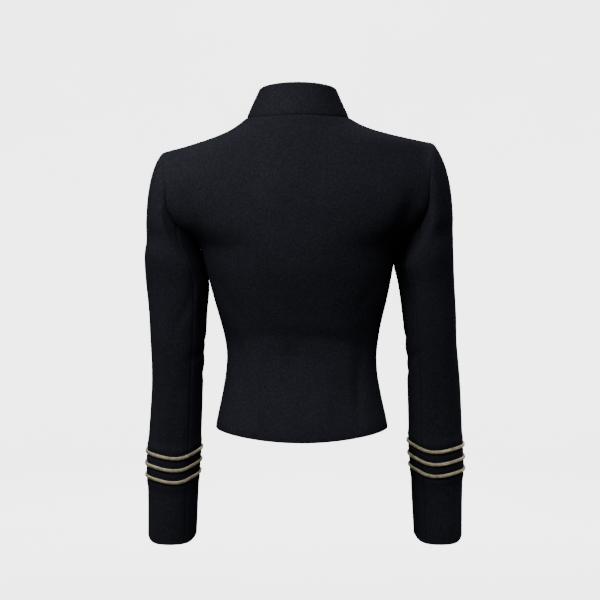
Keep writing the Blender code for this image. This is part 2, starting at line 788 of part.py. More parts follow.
def give_finish(piece, kind):
    colour, roughness, metallic = FINISHES[kind]
    material = bpy.data.materials.new(piece.name + "_finish")
    material.use_nodes = True
    shader = material.node_tree.nodes["Principled BSDF"]
    shader.inputs["Base Color"].default_value = (*colour, 1.0)
    shader.inputs["Roughness"].default_value = roughness
    shader.inputs["Metallic"].default_value = metallic
    piece.data.materials.append(material)


def clear_scene():
    for thing in list(bpy.data.objects):
        bpy.data.objects.remove(thing, do_unlink=True)


def main():
    clear_scene()
    cloth = [make_back(), make_front("left"), make_front("right"), make_collar()]
    braids = []
    for side in ("left", "right"):
        cloth += make_sleeve(side)
        for number, back_height in enumerate(BRAIDS[side], start=1):
            braids.append(make_braid(side, number, back_height))
    buttons = [make_button(number) for number in range(1, BUTTON_COUNT + 1)]
    for piece in cloth:
        give_finish(piece, "cloth")
    for piece in braids:
        give_finish(piece, "braid")
    for piece in buttons:
        give_finish(piece, "button")
    holder = bpy.data.objects.new("jacket", None)
    bpy.context.scene.collection.objects.link(holder)
    for piece in cloth + braids + buttons:
        piece.parent = holder


main()
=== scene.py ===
"""The looks of a cropped stand-collar jacket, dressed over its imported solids.

The cloth is made again from the same form as the solids, on a finer grid, with its creases,
turned edges and seams. Lengths are in millimetres until a mesh is made. +Z is up, the back
of the jacket faces +Y and the wearer's left is +X.
"""
import math

import bpy
import numpy as np
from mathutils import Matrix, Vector


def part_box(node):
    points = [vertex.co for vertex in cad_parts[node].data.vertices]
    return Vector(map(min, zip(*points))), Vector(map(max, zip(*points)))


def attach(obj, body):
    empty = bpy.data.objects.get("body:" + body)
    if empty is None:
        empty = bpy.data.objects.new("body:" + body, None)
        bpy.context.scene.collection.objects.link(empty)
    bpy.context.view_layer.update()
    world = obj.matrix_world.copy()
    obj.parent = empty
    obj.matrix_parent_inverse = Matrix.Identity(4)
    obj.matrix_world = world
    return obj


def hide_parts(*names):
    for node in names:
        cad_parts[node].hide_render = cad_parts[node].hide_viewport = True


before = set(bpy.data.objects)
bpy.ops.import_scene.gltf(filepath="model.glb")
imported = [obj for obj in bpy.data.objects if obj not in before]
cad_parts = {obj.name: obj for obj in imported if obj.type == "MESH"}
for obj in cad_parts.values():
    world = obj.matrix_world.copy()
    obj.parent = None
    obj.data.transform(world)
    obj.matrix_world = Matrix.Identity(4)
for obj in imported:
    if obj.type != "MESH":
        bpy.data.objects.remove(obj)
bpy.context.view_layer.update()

MM = 0.001

# Cloth and seams
CLOTH = 2.0
COLLAR_CLOTH = 3.0
SEAM_GAP = 0.025
EDGE_TURN = 0.9
SEAM_ROLL = 0.55
SEAM_ROLL_WIDTH = 2.2
TURN_UP = 30.0
TURN_UP_CLOTH = 0.7
HEM_STEP = 1.0
HEM_LINE_ROOM = 0.08
LEAST_WALL = 0.1

# Extra grid lines along each edge: their distances, and the shares of a step they stay within
EDGE_LINES = (0.25, 0.9)
EDGE_LINE_LIMITS = (0.3, 0.42)

# Main lengths
NECK_HALF_WIDTH = 76.5
BACK_NECK_RISE = 2.0
BACK_NECK_ROUNDING = 4
FRONT_NECK_DROP = 65.0
UNDERARM_HEIGHT = -190.0
SIDE_HEM_HEIGHT = -463.0
BACK_HEM_DROP = 10.5
BACK_HEM_ROUNDING = 3
CUFF_HEIGHT = -645.0
CUFF_SIDE_RISE = 9.0
CUFF_RISE_SPAN = 32.3
CUFF_RISE_ROUNDING = 6
SHOULDER_TIP = {"left": -51.0, "right": -37.0}

# Armholes, as half depths measured from the side seam
SIDE_SEAM_Y = -6.0
ARMHOLE_BACK_DEPTH = 55.0
ARMHOLE_FRONT_DEPTH = 50.0

# Collar
COLLAR_HEIGHT = 49.0
COLLAR_SIDE_DROP = 3.0
COLLAR_FRONT_HEIGHT = 44.0
COLLAR_LEAN_CENTRE = 0.25
COLLAR_LEAN_SIDE = 0.21
COLLAR_FRONT_GAP = 3.0
COLLAR_GAP_WIDENING = 2
COLLAR_CORNER_DROP = 3.0
COLLAR_CORNER_SHARES = (1.0, 0.45, 0.15)
COLLAR_BOW = 0.5
COLLAR_BOW_SPACING = 21.0

# Sleeve cap: where it ends, how it leaves the armhole and how full it stands
CAP_END = -225.0
CAP_END_STEP = 10.0
CAP_OUT_MEAN = 0.46
CAP_OUT_SWING = 0.16
CAP_BACK_SWING = 0.12
CAP_FULLNESS = {"left": 0.83, "right": 0.93}

# Front lap and buttons
LAP = 15.0
LAP_DEPTH = CLOTH + 1.4
LAP_MARGIN = 2.0
LAP_BLEND = 30.0
LAP_COLUMN = 0.865
ROW_EASE = 0.5
BUTTON_COUNT = 7

# Cuff braid: a twist of cords, flattened where it lies on the cloth
BRAID_CORDS = 3
BRAID_CORD_RADIUS = 1.25
BRAID_ACROSS = 1.5
BRAID_RISE_HALF = 0.5
BRAID_LIFT = 2.1
BRAID_TURN_LENGTH = 10.5
BRAID_POINT_STEP = 0.9

# Grid steps of the solids, and how many times finer the cloth's grid is
SIDE_STEPS = 11
SIDE_CROWDING = 1.3
ARMHOLE_STEPS = 10
SHOULDER_STEPS = 8
HALF_BACK_STEPS = 11
NECK_STEPS = 6
COLLAR_STEPS = 3
CAP_STEPS = 7
TUBE_STEPS = 13
UNDER_SLEEVE_FROM = 7
UNDER_SLEEVE_TO = 14
FINER = 4

# Steps for finding slopes, seams and measures, and each side's way along X
SLOPE_TURN = 0.004
SLOPE_DROP = 0.5
HALVINGS = 40
SEAM_TRIALS = 400
MEASURE_STEP = 2.0
WAY = {"left": 1.0, "right": -1.0}

# The rounding of the ridge at the height of the shoulders' tips
SHOULDER_RIDGE = -48.0
SHOULDER_REACH = 34.0
SHOULDER_ROUNDS = 90
SHOULDER_EASE_ALONG = 0.5
SHOULDER_EASE_ACROSS = 0.25


class Table:
    """Rows of named columns, lowest first, read as smooth curves between the rows."""

    def __init__(self, columns, *rows):
        self.columns = columns.split()
        self.rows = np.array(rows, float)

    def read(self, column, at):
        values = self.rows[:, self.columns.index(column)]
        return monotone_curve(self.rows[:, 0], values, np.asarray(at, float))

    def each(self):
        return [dict(zip(self.columns, row)) for row in self.rows]


def monotone_curve(xs, ys, at):
    """A cubic through the points that never swings past one of them."""
    step = np.diff(xs)
    slope = np.diff(ys) / step
    same_way = slope[1:] * slope[:-1] > 0
    before = 2 * step[1:] + step[:-1]
    after = step[1:] + 2 * step[:-1]
    low = np.where(same_way, slope[:-1], 1.0)
    high = np.where(same_way, slope[1:], 1.0)
    mean = (before + after) / (before / low + after / high)
    grade = np.concatenate([slope[:1], np.where(same_way, mean, 0.0), slope[-1:]])
    k = np.clip(np.searchsorted(xs, at) - 1, 0, len(step) - 1)
    u = np.clip((at - xs[k]) / step[k], 0.0, 1.0)
    start = (1 + 2 * u) * (1 - u) ** 2 * ys[k] + u * (1 - u) ** 2 * step[k] * grade[k]
    end = u**2 * (3 - 2 * u) * ys[k + 1] + u**2 * (u - 1) * step[k] * grade[k + 1]
    return start + end


# Half width of the body by height, the shoulder seam's line and the swell of the armhole
WIDTHS = Table(
    "height half_width",
    (-495, 134.5), (-451, 128.0), (-427, 122.7), (-403, 117.9), (-380, 114.2), (-355, 112.8),
    (-343, 113.7), (-319, 117.5), (-295, 123.2), (-271, 129.5), (-250, 134.4), (-214, 142.3),
    (-200, 145.5), (-190, 150.0), (-181, 161.0), (-170, 179.0), (-155, 202.0), (-138, 219.0),
    (-120, 227.0), (-97, 228.0), (-78, 222.0), (-60, 210.0), (-51, 201.0), (-43, 170.0),
    (-35, 144.0), (-25.5, 115.5), (-19, 100.5), (-12.5, 89.5), (-6, 81.5), (0, 76.5),
)

# Depth behind and in front of the side seam, sideways lean and squareness of each section
SECTIONS = Table(
    "height lean back front squareness",
    (-495, -5.7, 94, 106, 2.35),
    (-460, -5.7, 91, 105, 2.35),
    (-425, -5.5, 85, 102, 2.3),
    (-385, -5.4, 77, 98, 2.3),
    (-345, -5.8, 73, 97, 2.3),
    (-300, -4.6, 79, 106, 2.3),
    (-255, -3.5, 88, 116, 2.3),
    (-215, -2.0, 95, 120, 2.3),
    (-175, -1.0, 98, 115, 2.25),
    (-140, 0.0, 97, 103, 2.2),
    (-100, 0.0, 92, 88, 2.2),
    (-65, 0.0, 82, 70, 2.2),
    (-51, 0.0, 77, 61, 2.2),
    (-35, 0.0, 71.5, 49, 2.15),
    (-20, 0.0, 66.5, 35, 2.1),
    (-8, 0.0, 62.5, 26, 2.1),
    (0, 0.0, 60, 21, 2.1),
)

# Sleeve sections below the underarm, as distances outwards from the jacket's middle
SLEEVES = {
    "left": Table(
        "height outer inner middle half_depth",
        (-650, 232.0, 157.5, -38, 41),
        (-570, 231.0, 153.5, -34, 43),
        (-530, 231.5, 151.5, -31, 44),
        (-500, 230.0, 149.0, -28.5, 44.5),
        (-440, 225.0, 146.0, -23, 45.5),
        (-403, 223.0, 144.5, -20, 46.5),
        (-367, 222.8, 142.0, -17, 48),
        (-331, 223.5, 139.0, -14, 49.5),
        (-295, 224.0, 137.0, -12, 51.5),
        (-250, 225.5, 133.4, -10, 54.5),
        (-225, 226.0, 138.0, -8, 57),
    ),
    "right": Table(
        "height outer inner middle half_depth",
        (-650, 253.5, 180.0, -38, 41),
        (-570, 253.0, 175.0, -34, 43),
        (-530, 253.5, 173.0, -31, 44),
        (-500, 252.0, 170.5, -28.5, 44.5),
        (-440, 249.5, 168.0, -23, 45.5),
        (-403, 247.0, 166.5, -20, 46.5),
        (-367, 243.5, 164.5, -17, 48),
        (-331, 240.0, 161.5, -14, 49.5),
        (-295, 238.5, 157.5, -12, 51.5),
        (-250, 235.5, 151.0, -10, 54.5),
        (-225, 234.0, 145.2, -8, 57),
    ),
}
SLEEVE_SQUARENESS = 2.15

# Height of each braid where it crosses the back of the sleeve, and how far it rises above
# that as it goes round: 0 degrees is the outer side, 90 the back, 180 the inner side
BRAIDS = {"left": (-509.0, -527.7, -546.4), "right": (-499.0, -518.4, -536.6)}
BRAID_RISE = Table(
    "turn rise",
    (0, 5.6), (40, 4.8), (60, 3.3), (75, 1.4), (90, 0.0), (102, -0.3), (112, 0.6),
    (122, 2.4), (132, 5.0), (142, 7.2), (155, 8.9), (180, 10.0), (270, 8.0), (360, 5.6),
)

# Folds that run down from the back of each armhole
ARMPIT_FOLD = Table(
    "height outwards depth",
    (-225, 139.0, 0.0),
    (-195, 144.0, 3.0),
    (-172, 150.0, 5.0),
    (-145, 160.0, 5.5),
    (-120, 166.0, 4.0),
    (-95, 170.0, 0.0),
)
FOLD_HALF_WIDTH = 14.0
FOLD_FADE = 30.0

# All creases: how strongly they are pressed in, how they wander, widen and vary along their
# length, and how soon their ends fade
CREASE_STRENGTH = 1.35
CREASE_WANDER = 0.18
CREASE_WANDER_TURN = 2.3
CREASE_WIDENING = 0.25
CREASE_VARIATION = 0.22
CREASE_VARIATION_TURN = 3.1
CREASE_VARIATION_SHIFT = 0.7
CREASE_END_POWER = 2.6
SIDE_SEAM_FADE = 34.0

# Creases on the body: middle of each, its direction from level in degrees, its half length
# and half width, and its depth. A depth below zero is a ridge. x is towards the wearer's left.
BACK_CREASES = Table(
    "x height turn half_length half_width depth",
    (8, -368, 88, 46, 17, 1.5),
    (55, -402, 84, 62, 17, -1.5),
    (-36, -410, 95, 64, 15, -1.5),
    (-91, -382, 92, 66, 9, 2.4),
    (88, -352, 80, 38, 11, 1.4),
    (4, -318, 3, 70, 11, 1.0),
    (-66, -331, 14, 36, 8, 0.9),
    (70, -327, -12, 34, 8, 0.8),
    (104, -262, 58, 34, 9, 1.0),
    (-108, -254, 122, 34, 9, 1.0),
    (0, -60, 90, 44, 26, -0.7),
    (96, -128, 150, 40, 16, 0.8),
    (-98, -122, 30, 40, 16, 0.8),
)
FRONT_CREASES = Table(
    "x height turn half_length half_width depth",
    (62, -338, 9, 40, 9, 1.2),
    (-64, -344, -10, 42, 9, 1.2),
    (84, -318, 24, 34, 8, 1.0),
    (-88, -322, -22, 34, 8, 1.0),
    (58, -392, 82, 60, 15, -1.3),
    (-60, -398, 97, 60, 15, -1.3),
    (96, -404, 86, 52, 11, 1.5),
    (-98, -400, 95, 52, 11, 1.5),
    (118, -232, 60, 40, 10, 1.4),
    (-120, -228, 120, 40, 10, 1.4),
    (104, -128, 52, 36, 12, 1.1),
    (-106, -124, 128, 36, 12, 1.1),
)

# Creases on the sleeves, by turn round the sleeve in degrees
SLEEVE_CREASES = {
    "left": Table(
        "around height turn half_length half_width depth",
        (150, -236, 92, 84, 14, 4.5),
        (2, -232, 90, 56, 20, -2.2),
        (58, -176, 4, 34, 14, 1.9),
        (50, -208, -6, 36, 16, -0.9),
        (118, -262, 70, 48, 9, 1.6),
        (64, -300, 84, 66, 15, -1.0),
        (206, -334, 6, 34, 8, 1.5),
        (220, -358, -8, 38, 9, 1.9),
        (208, -384, 5, 34, 9, 1.4),
        (256, -346, -14, 34, 8, 1.5),
        (150, -352, 22, 26, 8, 1.3),
        (100, -430, 80, 60, 11, 0.9),
        (20, -392, 96, 60, 13, 0.9),
        (300, -250, 74, 60, 12, 1.3),
        (330, -192, 10, 34, 11, 1.4),
        (90, -600, 88, 34, 14, -0.6),
    ),
    "right": Table(
        "around height turn half_length half_width depth",
        (150, -232, 88, 84, 13, 4.0),
        (52, -170, -5, 32, 14, 1.7),
        (62, -204, 4, 36, 16, -0.8),
        (122, -256, 108, 48, 9, 1.5),
        (58, -310, 95, 66, 15, -1.0),
        (204, -330, -5, 34, 8, 1.5),
        (218, -355, 8, 38, 9, 1.9),
        (204, -381, -6, 34, 9, 1.4),
        (252, -343, 12, 34, 8, 1.5),
        (148, -358, -20, 26, 8, 1.2),
        (96, -436, 99, 60, 11, 0.9),
        (24, -388, 84, 60, 13, 0.9),
        (304, -256, 106, 60, 12, 1.3),
        (326, -188, -10, 34, 11, 1.4),
        (84, -596, 92, 34, 14, -0.6),
    ),
}
SLEEVE_ROUND_RADIUS = 43.0
CREASE_FADE = 24.0

# The cloth that closes the slit between sleeve and body just below the armhole
UNDERARM_FILL = 5.6
UNDERARM_FILL_START = 13.0
UNDERARM_FILL_TURN = 175.0
UNDERARM_FILL_SPAN = 30.0
UNDERARM_FILL_REACH = 25.0
UNDERARM_TUCK = 1.4
UNDERARM_TUCK_PLACE = 4.2
UNDERARM_TUCK_HALF = 2.4
UNDERARM_TUCK_START = 1.5

# How the cuff's cloth puffs beside the braids and sinks under them
CUFF_PUFF = 1.3
CUFF_PUFF_HALF = 7.0
CUFF_PUFF_MARGIN = 9.0
CUFF_SINK_HALF = 4.0


# The garment's form

def unit(vectors):
    """The same directions with a length of one."""
    return vectors / np.linalg.norm(vectors, axis=-1, keepdims=True)


def smooth(values):
    """A soft step from 0 to 1."""
    values = np.clip(values, 0.0, 1.0)
    return values * values * (3 - 2 * values)


def bell(values):
    """1 at zero, fading to both sides."""
    return np.exp(-(values**2))


def left_height(height, tip):
    """The height on the taller left table that belongs to a height on a side with this tip."""
    ends = [UNDERARM_HEIGHT, tip, 0.0]
    table_ends = [UNDERARM_HEIGHT, SHOULDER_TIP["left"], 0.0]
    return np.where(height > UNDERARM_HEIGHT, np.interp(height, ends, table_ends), height)


def body_point(angle, height):
    """A point of the body's outer form. The angle is 0 at the left side seam, a quarter turn
    at the centre back, and a quarter turn the other way at the centre front."""
    angle = np.asarray(angle, float)
    height = np.asarray(height, float)
    across = np.cos(angle)
    along = np.sin(angle)
    square = SECTIONS.read("squareness", height)
    reach = (np.abs(across) ** square + np.abs(along) ** square) ** (1 / square)
    left = WIDTHS.read("half_width", left_height(height, SHOULDER_TIP["left"]))
    right = WIDTHS.read("half_width", left_height(height, SHOULDER_TIP["right"]))
    depth = np.where(along > 0, SECTIONS.read("back", height), SECTIONS.read("front", height))
    x = SECTIONS.read("lean", height) + np.where(across > 0, left, right) * across / reach
    y = SIDE_SEAM_Y + depth * along / reach
    return np.stack([x, y, height + 0 * angle], -1)


def body_normal(angle, height):
    """The outward direction of the body's form."""
    height = np.minimum(height, 0.0)
    round_it = (body_point(angle + SLOPE_TURN, height)
                - body_point(angle - SLOPE_TURN, height))
    up = body_point(angle, height) - body_point(angle, height - SLOPE_DROP)
    return unit(np.cross(round_it, up))


def angle_where(reached, low, high):
    """Halves the span between two angles until reached(angle) turns from false to true."""
    for _ in range(HALVINGS):
        middle = (low + high) / 2
        hit = reached(middle)
        high = np.where(hit, middle, high)
        low = np.where(hit, low, middle)
    return (low + high) / 2


def armhole_edge(side, face):
    """Angles and heights down one edge of an armhole, from the shoulder's tip to the underarm."""
    turn = np.linspace(0.0, math.pi, ARMHOLE_STEPS * FINER + 1)
    tip = SHOULDER_TIP[side]
    height = (tip + UNDERARM_HEIGHT) / 2 + (tip - UNDERARM_HEIGHT) / 2 * np.cos(turn)
    half_depth = ARMHOLE_BACK_DEPTH if face == "back" else ARMHOLE_FRONT_DEPTH
    depth = half_depth * np.sin(turn)
    way = 1.0 if face == "back" else -1.0

    def reached(angle):
        return way * (body_point(angle, height)[..., 1] - SIDE_SEAM_Y) > depth

    angle = angle_where(reached, 0.0 * turn, way * math.pi / 2 + 0.0 * turn)
    angle = np.where(depth < 1e-9, 0.0, angle)
    return (angle if side == "left" else way * math.pi - angle), height


def side_heights():
    """Heights up the side seam, from the hem to the underarm."""
    left_over = np.linspace(1.0, 0.0, SIDE_STEPS * FINER + 1) ** SIDE_CROWDING
    return UNDERARM_HEIGHT + (SIDE_HEM_HEIGHT - UNDERARM_HEIGHT) * left_over


def shoulder_heights(side):
    """Heights up the shoulder seam, at even steps outwards, from the tip to the neck."""
    wanted = np.linspace(WIDTHS.read("half_width", SHOULDER_TIP["left"]), NECK_HALF_WIDTH,
                         SHOULDER_STEPS * FINER + 1)
    trial = np.linspace(SHOULDER_TIP["left"], 0.0, SEAM_TRIALS)
    widths = WIDTHS.read("half_width", trial)
    on_left = np.interp(-wanted, -widths, trial)
    return on_left * SHOULDER_TIP[side] / SHOULDER_TIP["left"]


def back_outline(side):
    """Angles and heights up one side of the back: side seam, armhole and shoulder seam."""
    angle, height = armhole_edge(side, "back")
    seam = 0.0 if side == "left" else math.pi
    heights = np.concatenate([side_heights(), height[::-1][1:], shoulder_heights(side)[1:]])
    angles = np.concatenate([np.full(SIDE_STEPS * FINER + 1, seam), angle[::-1][1:],
                             np.full(SHOULDER_STEPS * FINER, seam)])
    return angles, heights


def back_grid():
    """Angles and heights of the back's grid, from the left edge to the right one."""
    left_angle, left_high = back_outline("left")
    right_angle, right_high = back_outline("right")
    across = np.linspace(0.0, 1.0, 2 * HALF_BACK_STEPS * FINER + 1)
    angle = left_angle[:, None] * (1 - across) + right_angle[:, None] * across
    height = left_high[:, None] * (1 - across) + right_high[:, None] * across
    rows = len(left_high) - 1
    up = np.linspace(0.0, 1.0, rows + 1)[:, None]
    low = np.clip(1 - np.arange(rows + 1) / (SIDE_STEPS * FINER), 0.0, 1.0)[:, None]
    height = height - BACK_HEM_DROP * low * np.sin(angle) ** BACK_HEM_ROUNDING
    top_quarter = np.clip(up * 4 - 3, 0.0, 1.0)
    height = height + BACK_NECK_RISE * top_quarter * np.sin(angle) ** BACK_NECK_ROUNDING
    return angle, height


def front_angle(x, height):
    """The angle at which the front of the form lies at x."""
    def reached(angle):
        return body_point(angle, height)[..., 0] < x

    return angle_where(reached, np.full(np.shape(x), 0.0), np.full(np.shape(x), -math.pi))


def neck_outline(side):
    """Angles and heights of the front neckline, from the lap's edge round to the shoulder."""
    way = WAY[side]
    lap_turn = math.asin(LAP / NECK_HALF_WIDTH)
    lap = np.linspace(math.pi / 2 + lap_turn, math.pi / 2, FINER + 1)[:-1]
    turn = np.concatenate([lap, np.linspace(math.pi / 2, 0.0, NECK_STEPS * FINER + 1)])
    x = way * NECK_HALF_WIDTH * np.cos(turn)
    height = -FRONT_NECK_DROP * np.sin(turn)
    angle = front_angle(x, height)
    angle[-1] = 0.0 if side == "left" else -math.pi
    height[-1] = 0.0
    return angle, height


def front_grid(side):
    """Angles and heights of one front's grid, from its side edge to its lapped edge."""
    arm_angle, arm_high = armhole_edge(side, "front")
    seam = 0.0 if side == "left" else -math.pi
    edge_angle = np.concatenate([np.full(SIDE_STEPS * FINER + 1, seam), arm_angle[::-1][1:]])
    edge_high = np.concatenate([side_heights(), arm_high[::-1][1:]])
    neck_angle, neck_high = neck_outline(side)
    rows_below = len(edge_high) - len(neck_high) + 1
    centre_high = np.linspace(SIDE_HEM_HEIGHT, neck_high[0], rows_below)[:-1]
    way = WAY[side]
    lean = SECTIONS.read("lean", centre_high)
    lap_angle = np.concatenate([front_angle(lean - way * LAP, centre_high), neck_angle])
    lap_high = np.concatenate([centre_high, neck_high])
    inner_angle = edge_angle * (1 - LAP_COLUMN) + lap_angle * LAP_COLUMN
    inner_high = edge_high * (1 - LAP_COLUMN) + lap_high * LAP_COLUMN
    inner_angle[:rows_below - 1] = front_angle(lean + way * LAP, centre_high)
    inner_high[:rows_below - 1] = centre_high
    across = np.linspace(0.0, 1.0, (SHOULDER_STEPS - 1) * FINER + 1)
    angle = edge_angle[:, None] * (1 - across) + inner_angle[:, None] * across
    up = np.linspace(0.0, 1.0, len(edge_high))[:, None]
    rise = across ** (1 + ROW_EASE * np.sin(math.pi * up))
    height = edge_high[:, None] * (1 - rise) + inner_high[:, None] * rise
    lap = np.linspace(0.0, 1.0, FINER + 1)[1:]
    lap_angles = inner_angle[:, None] * (1 - lap) + lap_angle[:, None] * lap
    lap_highs = inner_high[:, None] * (1 - lap) + lap_high[:, None] * lap
    angle = np.column_stack([angle, lap_angles])
    height = np.column_stack([height, lap_highs])
    height[-1] = shoulder_heights(side)
    return angle, height


def folded_body(angle, height):
    """Points of the body's form with the armpit folds pressed in."""
    points = body_point(angle, height)
    line = ARMPIT_FOLD.read("outwards", points[..., 2])
    depth = ARMPIT_FOLD.read("depth", points[..., 2])
    off = (np.abs(points[..., 0]) - line) / FOLD_HALF_WIDTH
    behind = np.clip(points[..., 1] / FOLD_FADE, 0.0, 1.0)
    fold = depth * behind * bell(off)
    return points - body_normal(angle, height) * fold[..., None]


def grid_normals(grid):
    """Outward directions on a closed grid whose rows go round a sleeve."""
    round_it = np.roll(grid, -1, axis=1) - np.roll(grid, 1, axis=1)
    normals = unit(np.cross(np.gradient(grid, axis=0), round_it))
    middle = grid.mean(axis=1, keepdims=True)
    return normals if np.sum(normals * (grid - middle)) > 0 else -normals


def mitre(first, second):
    """The way into the cloth that two meeting walls share, long enough to keep them thick."""
    middle = unit(first + second)
    return -middle / np.sum(middle * first, axis=-1, keepdims=True)


def seam_way(into, edge, towards):
    """The direction across a seam, square to its edge and to the way into the cloth."""
    way = unit(np.cross(into, edge))
    return way * np.sign(np.sum(way * towards, axis=-1, keepdims=True))


def armhole_ring(side):
    """Angles and heights round an armhole: tip, back edge, underarm and up the front edge."""
    back_angle, back_high = armhole_edge(side, "back")
    front_edge, front_high = armhole_edge(side, "front")
    angle = np.concatenate([back_angle, front_edge[-2:0:-1]])
    return angle, np.concatenate([back_high, front_high[-2:0:-1]])


def sleeve_turns():
    """The turn of each grid line round a sleeve."""
    return np.linspace(0.0, 2 * math.pi, 2 * ARMHOLE_STEPS * FINER, endpoint=False)


def sleeve_section(side, height):
    """Points round a sleeve at a height: outer side first, then back, inner side and front."""
    way = WAY[side]
    table = SLEEVES[side]
    outer = table.read("outer", height)
    inner = table.read("inner", height)
    turn = sleeve_turns()
    across, along = np.cos(turn), np.sin(turn)
    power = SLEEVE_SQUARENESS
    reach = (np.abs(across) ** power + np.abs(along) ** power) ** (1 / power)
    x = (outer + inner) / 2 + (outer - inner) / 2 * across / reach
    y = table.read("middle", height) + table.read("half_depth", height) * along / reach
    return np.stack([way * x, y, height + 0 * turn], -1)


def sleeve_surface(side):
    """The sleeve's outer points: a cap from the armhole, then level sections to the cuff."""
    way = WAY[side]
    start = folded_body(*armhole_ring(side))
    end = sleeve_section(side, CAP_END)
    turn = sleeve_turns()
    out = CAP_OUT_MEAN + CAP_OUT_SWING * np.cos(turn)
    back = CAP_BACK_SWING * np.sin(turn)
    leave = np.stack([way * out, back, -np.sqrt(1 - out**2 - back**2)], -1)
    arrive = unit(sleeve_section(side, CAP_END - CAP_END_STEP) - end)
    length = np.linalg.norm(end - start, axis=-1, keepdims=True) * CAP_FULLNESS[side]
    rows = []
    for s in np.linspace(0.0, 1.0, CAP_STEPS * FINER + 1)[:-1]:
        here = start * (1 + 2 * s) * (1 - s) ** 2 + leave * length * s * (1 - s) ** 2
        there = end * s**2 * (3 - 2 * s) + arrive * length * s**2 * (s - 1)
        rows.append(here + there)
    for height in np.linspace(CAP_END, CUFF_HEIGHT, TUBE_STEPS * FINER * 2 + 1):
        low = np.clip(1 - (height - CUFF_HEIGHT) / CUFF_RISE_SPAN, 0.0, 1.0)
        rise = CUFF_SIDE_RISE * low * np.cos(turn) ** CUFF_RISE_ROUNDING
        rows.append(sleeve_section(side, height + rise))
    return np.array(rows)


def armhole_seam(side):
    """For each point round an armhole: the way into the cloth and the way out to the sleeve."""
    surface = sleeve_surface(side)
    into = mitre(body_normal(*armhole_ring(side)), grid_normals(surface)[0])
    edge = np.roll(surface[0], -1, axis=0) - np.roll(surface[0], 1, axis=0)
    return into, seam_way(into, edge, surface[1] - surface[0])


def neck_ring():
    """Angles and heights round the neckline, from the centre front by the right shoulder
    and the back to the centre front again."""
    right_angle, right_high = neck_outline("right")
    left_angle, left_high = neck_outline("left")
    back_angle, back_high = back_grid()
    angle = np.concatenate([right_angle[FINER:], back_angle[-1, -2:0:-1],
                            left_angle[:FINER - 1:-1]])
    height = np.concatenate([right_high[FINER:], back_high[-1, -2:0:-1],
                             left_high[:FINER - 1:-1]])
    return angle, height


def collar_rise():
    """The direction and the height in which the collar stands up from each neckline point."""
    base = body_point(*neck_ring())
    along = np.gradient(base, axis=0)
    along[:, 2] = 0.0
    level = unit(np.cross(along, [0.0, 0.0, 1.0]))
    if np.sum(level * (base - base.mean(axis=0))) < 0:
        level = -level
    lean = COLLAR_LEAN_CENTRE + COLLAR_LEAN_SIDE * level[:, :1] ** 2
    rise = unit(np.array([0.0, 0.0, 1.0]) - level * lean)
    share = np.clip(-base[:, 2:] / FRONT_NECK_DROP, 0.0, 1.0)
    high = COLLAR_HEIGHT - COLLAR_SIDE_DROP * level[:, :1] ** 2
    return rise, high + (COLLAR_FRONT_HEIGHT - COLLAR_HEIGHT) * share


def neck_seam():
    """For each neckline point: the way into the cloth and the way up to the collar."""
    ring = neck_ring()
    rise, _ = collar_rise()
    edge = np.gradient(body_point(*ring), axis=0)
    across = unit(np.cross(rise, edge))
    skin = body_normal(*ring)
    if np.sum(across * skin) < 0:
        across = -across
    into = mitre(skin, across)
    return into, seam_way(into, edge, rise)


# Creases

def crease_depth(table, first, height, first_of):
    """How far each point is pressed in by a table of creases, on two coordinates in mm."""
    depth = np.zeros(np.shape(height))
    for row in table.each():
        way = math.radians(row["turn"])
        right = first - first_of(row)
        up = height - row["height"]
        along = (right * math.cos(way) + up * math.sin(way)) / row["half_length"]
        off = -right * math.sin(way) + up * math.cos(way)
        wander = np.sin(CREASE_WANDER_TURN * along + row["height"])
        off = off + CREASE_WANDER * row["half_width"] * wander
        off = off / (row["half_width"] * (1 + CREASE_WIDENING * along))
        shift = CREASE_VARIATION_SHIFT * row["height"]
        uneven = 1 + CREASE_VARIATION * np.sin(CREASE_VARIATION_TURN * along + shift)
        length = np.exp(-np.abs(along) ** CREASE_END_POWER)
        depth = depth + CREASE_STRENGTH * row["depth"] * uneven * length * bell(off)
    return depth


def body_creases(points, table, way):
    """Creases of the back (way 1) or the fronts (way -1), fading towards the side seams."""
    facing = smooth((way * (points[..., 1] - SIDE_SEAM_Y)) / SIDE_SEAM_FADE)
    return facing * crease_depth(table, points[..., 0], points[..., 2], lambda row: row["x"])


def sleeve_creases(side, grid):
    """Creases of a sleeve, and the cloth that puffs a little between its braids."""
    turn = np.degrees(sleeve_turns())
    depth = np.zeros(grid.shape[:2])
    for lap in (-360.0, 0.0, 360.0):
        around = np.radians(turn + lap) * SLEEVE_ROUND_RADIUS
        depth += crease_depth(SLEEVE_CREASES[side], around[None, :], grid[..., 2],
                              lambda row: math.radians(row["around"]) * SLEEVE_ROUND_RADIUS)
    from_armhole = edge_distance(grid, 0, 0)
    depth *= smooth(from_armhole / CREASE_FADE)
    aside = (turn - UNDERARM_FILL_TURN) / UNDERARM_FILL_SPAN
    near = smooth(from_armhole / UNDERARM_FILL_START) * bell(from_armhole / UNDERARM_FILL_REACH)
    tuck = bell((from_armhole - UNDERARM_TUCK_PLACE) / UNDERARM_TUCK_HALF)
    tuck *= UNDERARM_TUCK * smooth(from_armhole / UNDERARM_TUCK_START)
    depth -= (UNDERARM_FILL * near + tuck) * bell(aside)
    rise = BRAID_RISE.read("rise", turn)
    lines = [back + rise for back in BRAIDS[side]]
    spots = [(a + b) / 2 for a, b in zip(lines, lines[1:])]
    for spot in [lines[0] + CUFF_PUFF_MARGIN, *spots, lines[-1] - CUFF_PUFF_MARGIN]:
        depth -= CUFF_PUFF * bell((grid[..., 2] - spot) / CUFF_PUFF_HALF)
    for line in lines:
        depth += CUFF_PUFF / 2 * bell((grid[..., 2] - line) / CUFF_SINK_HALF)
    return depth


# Panels

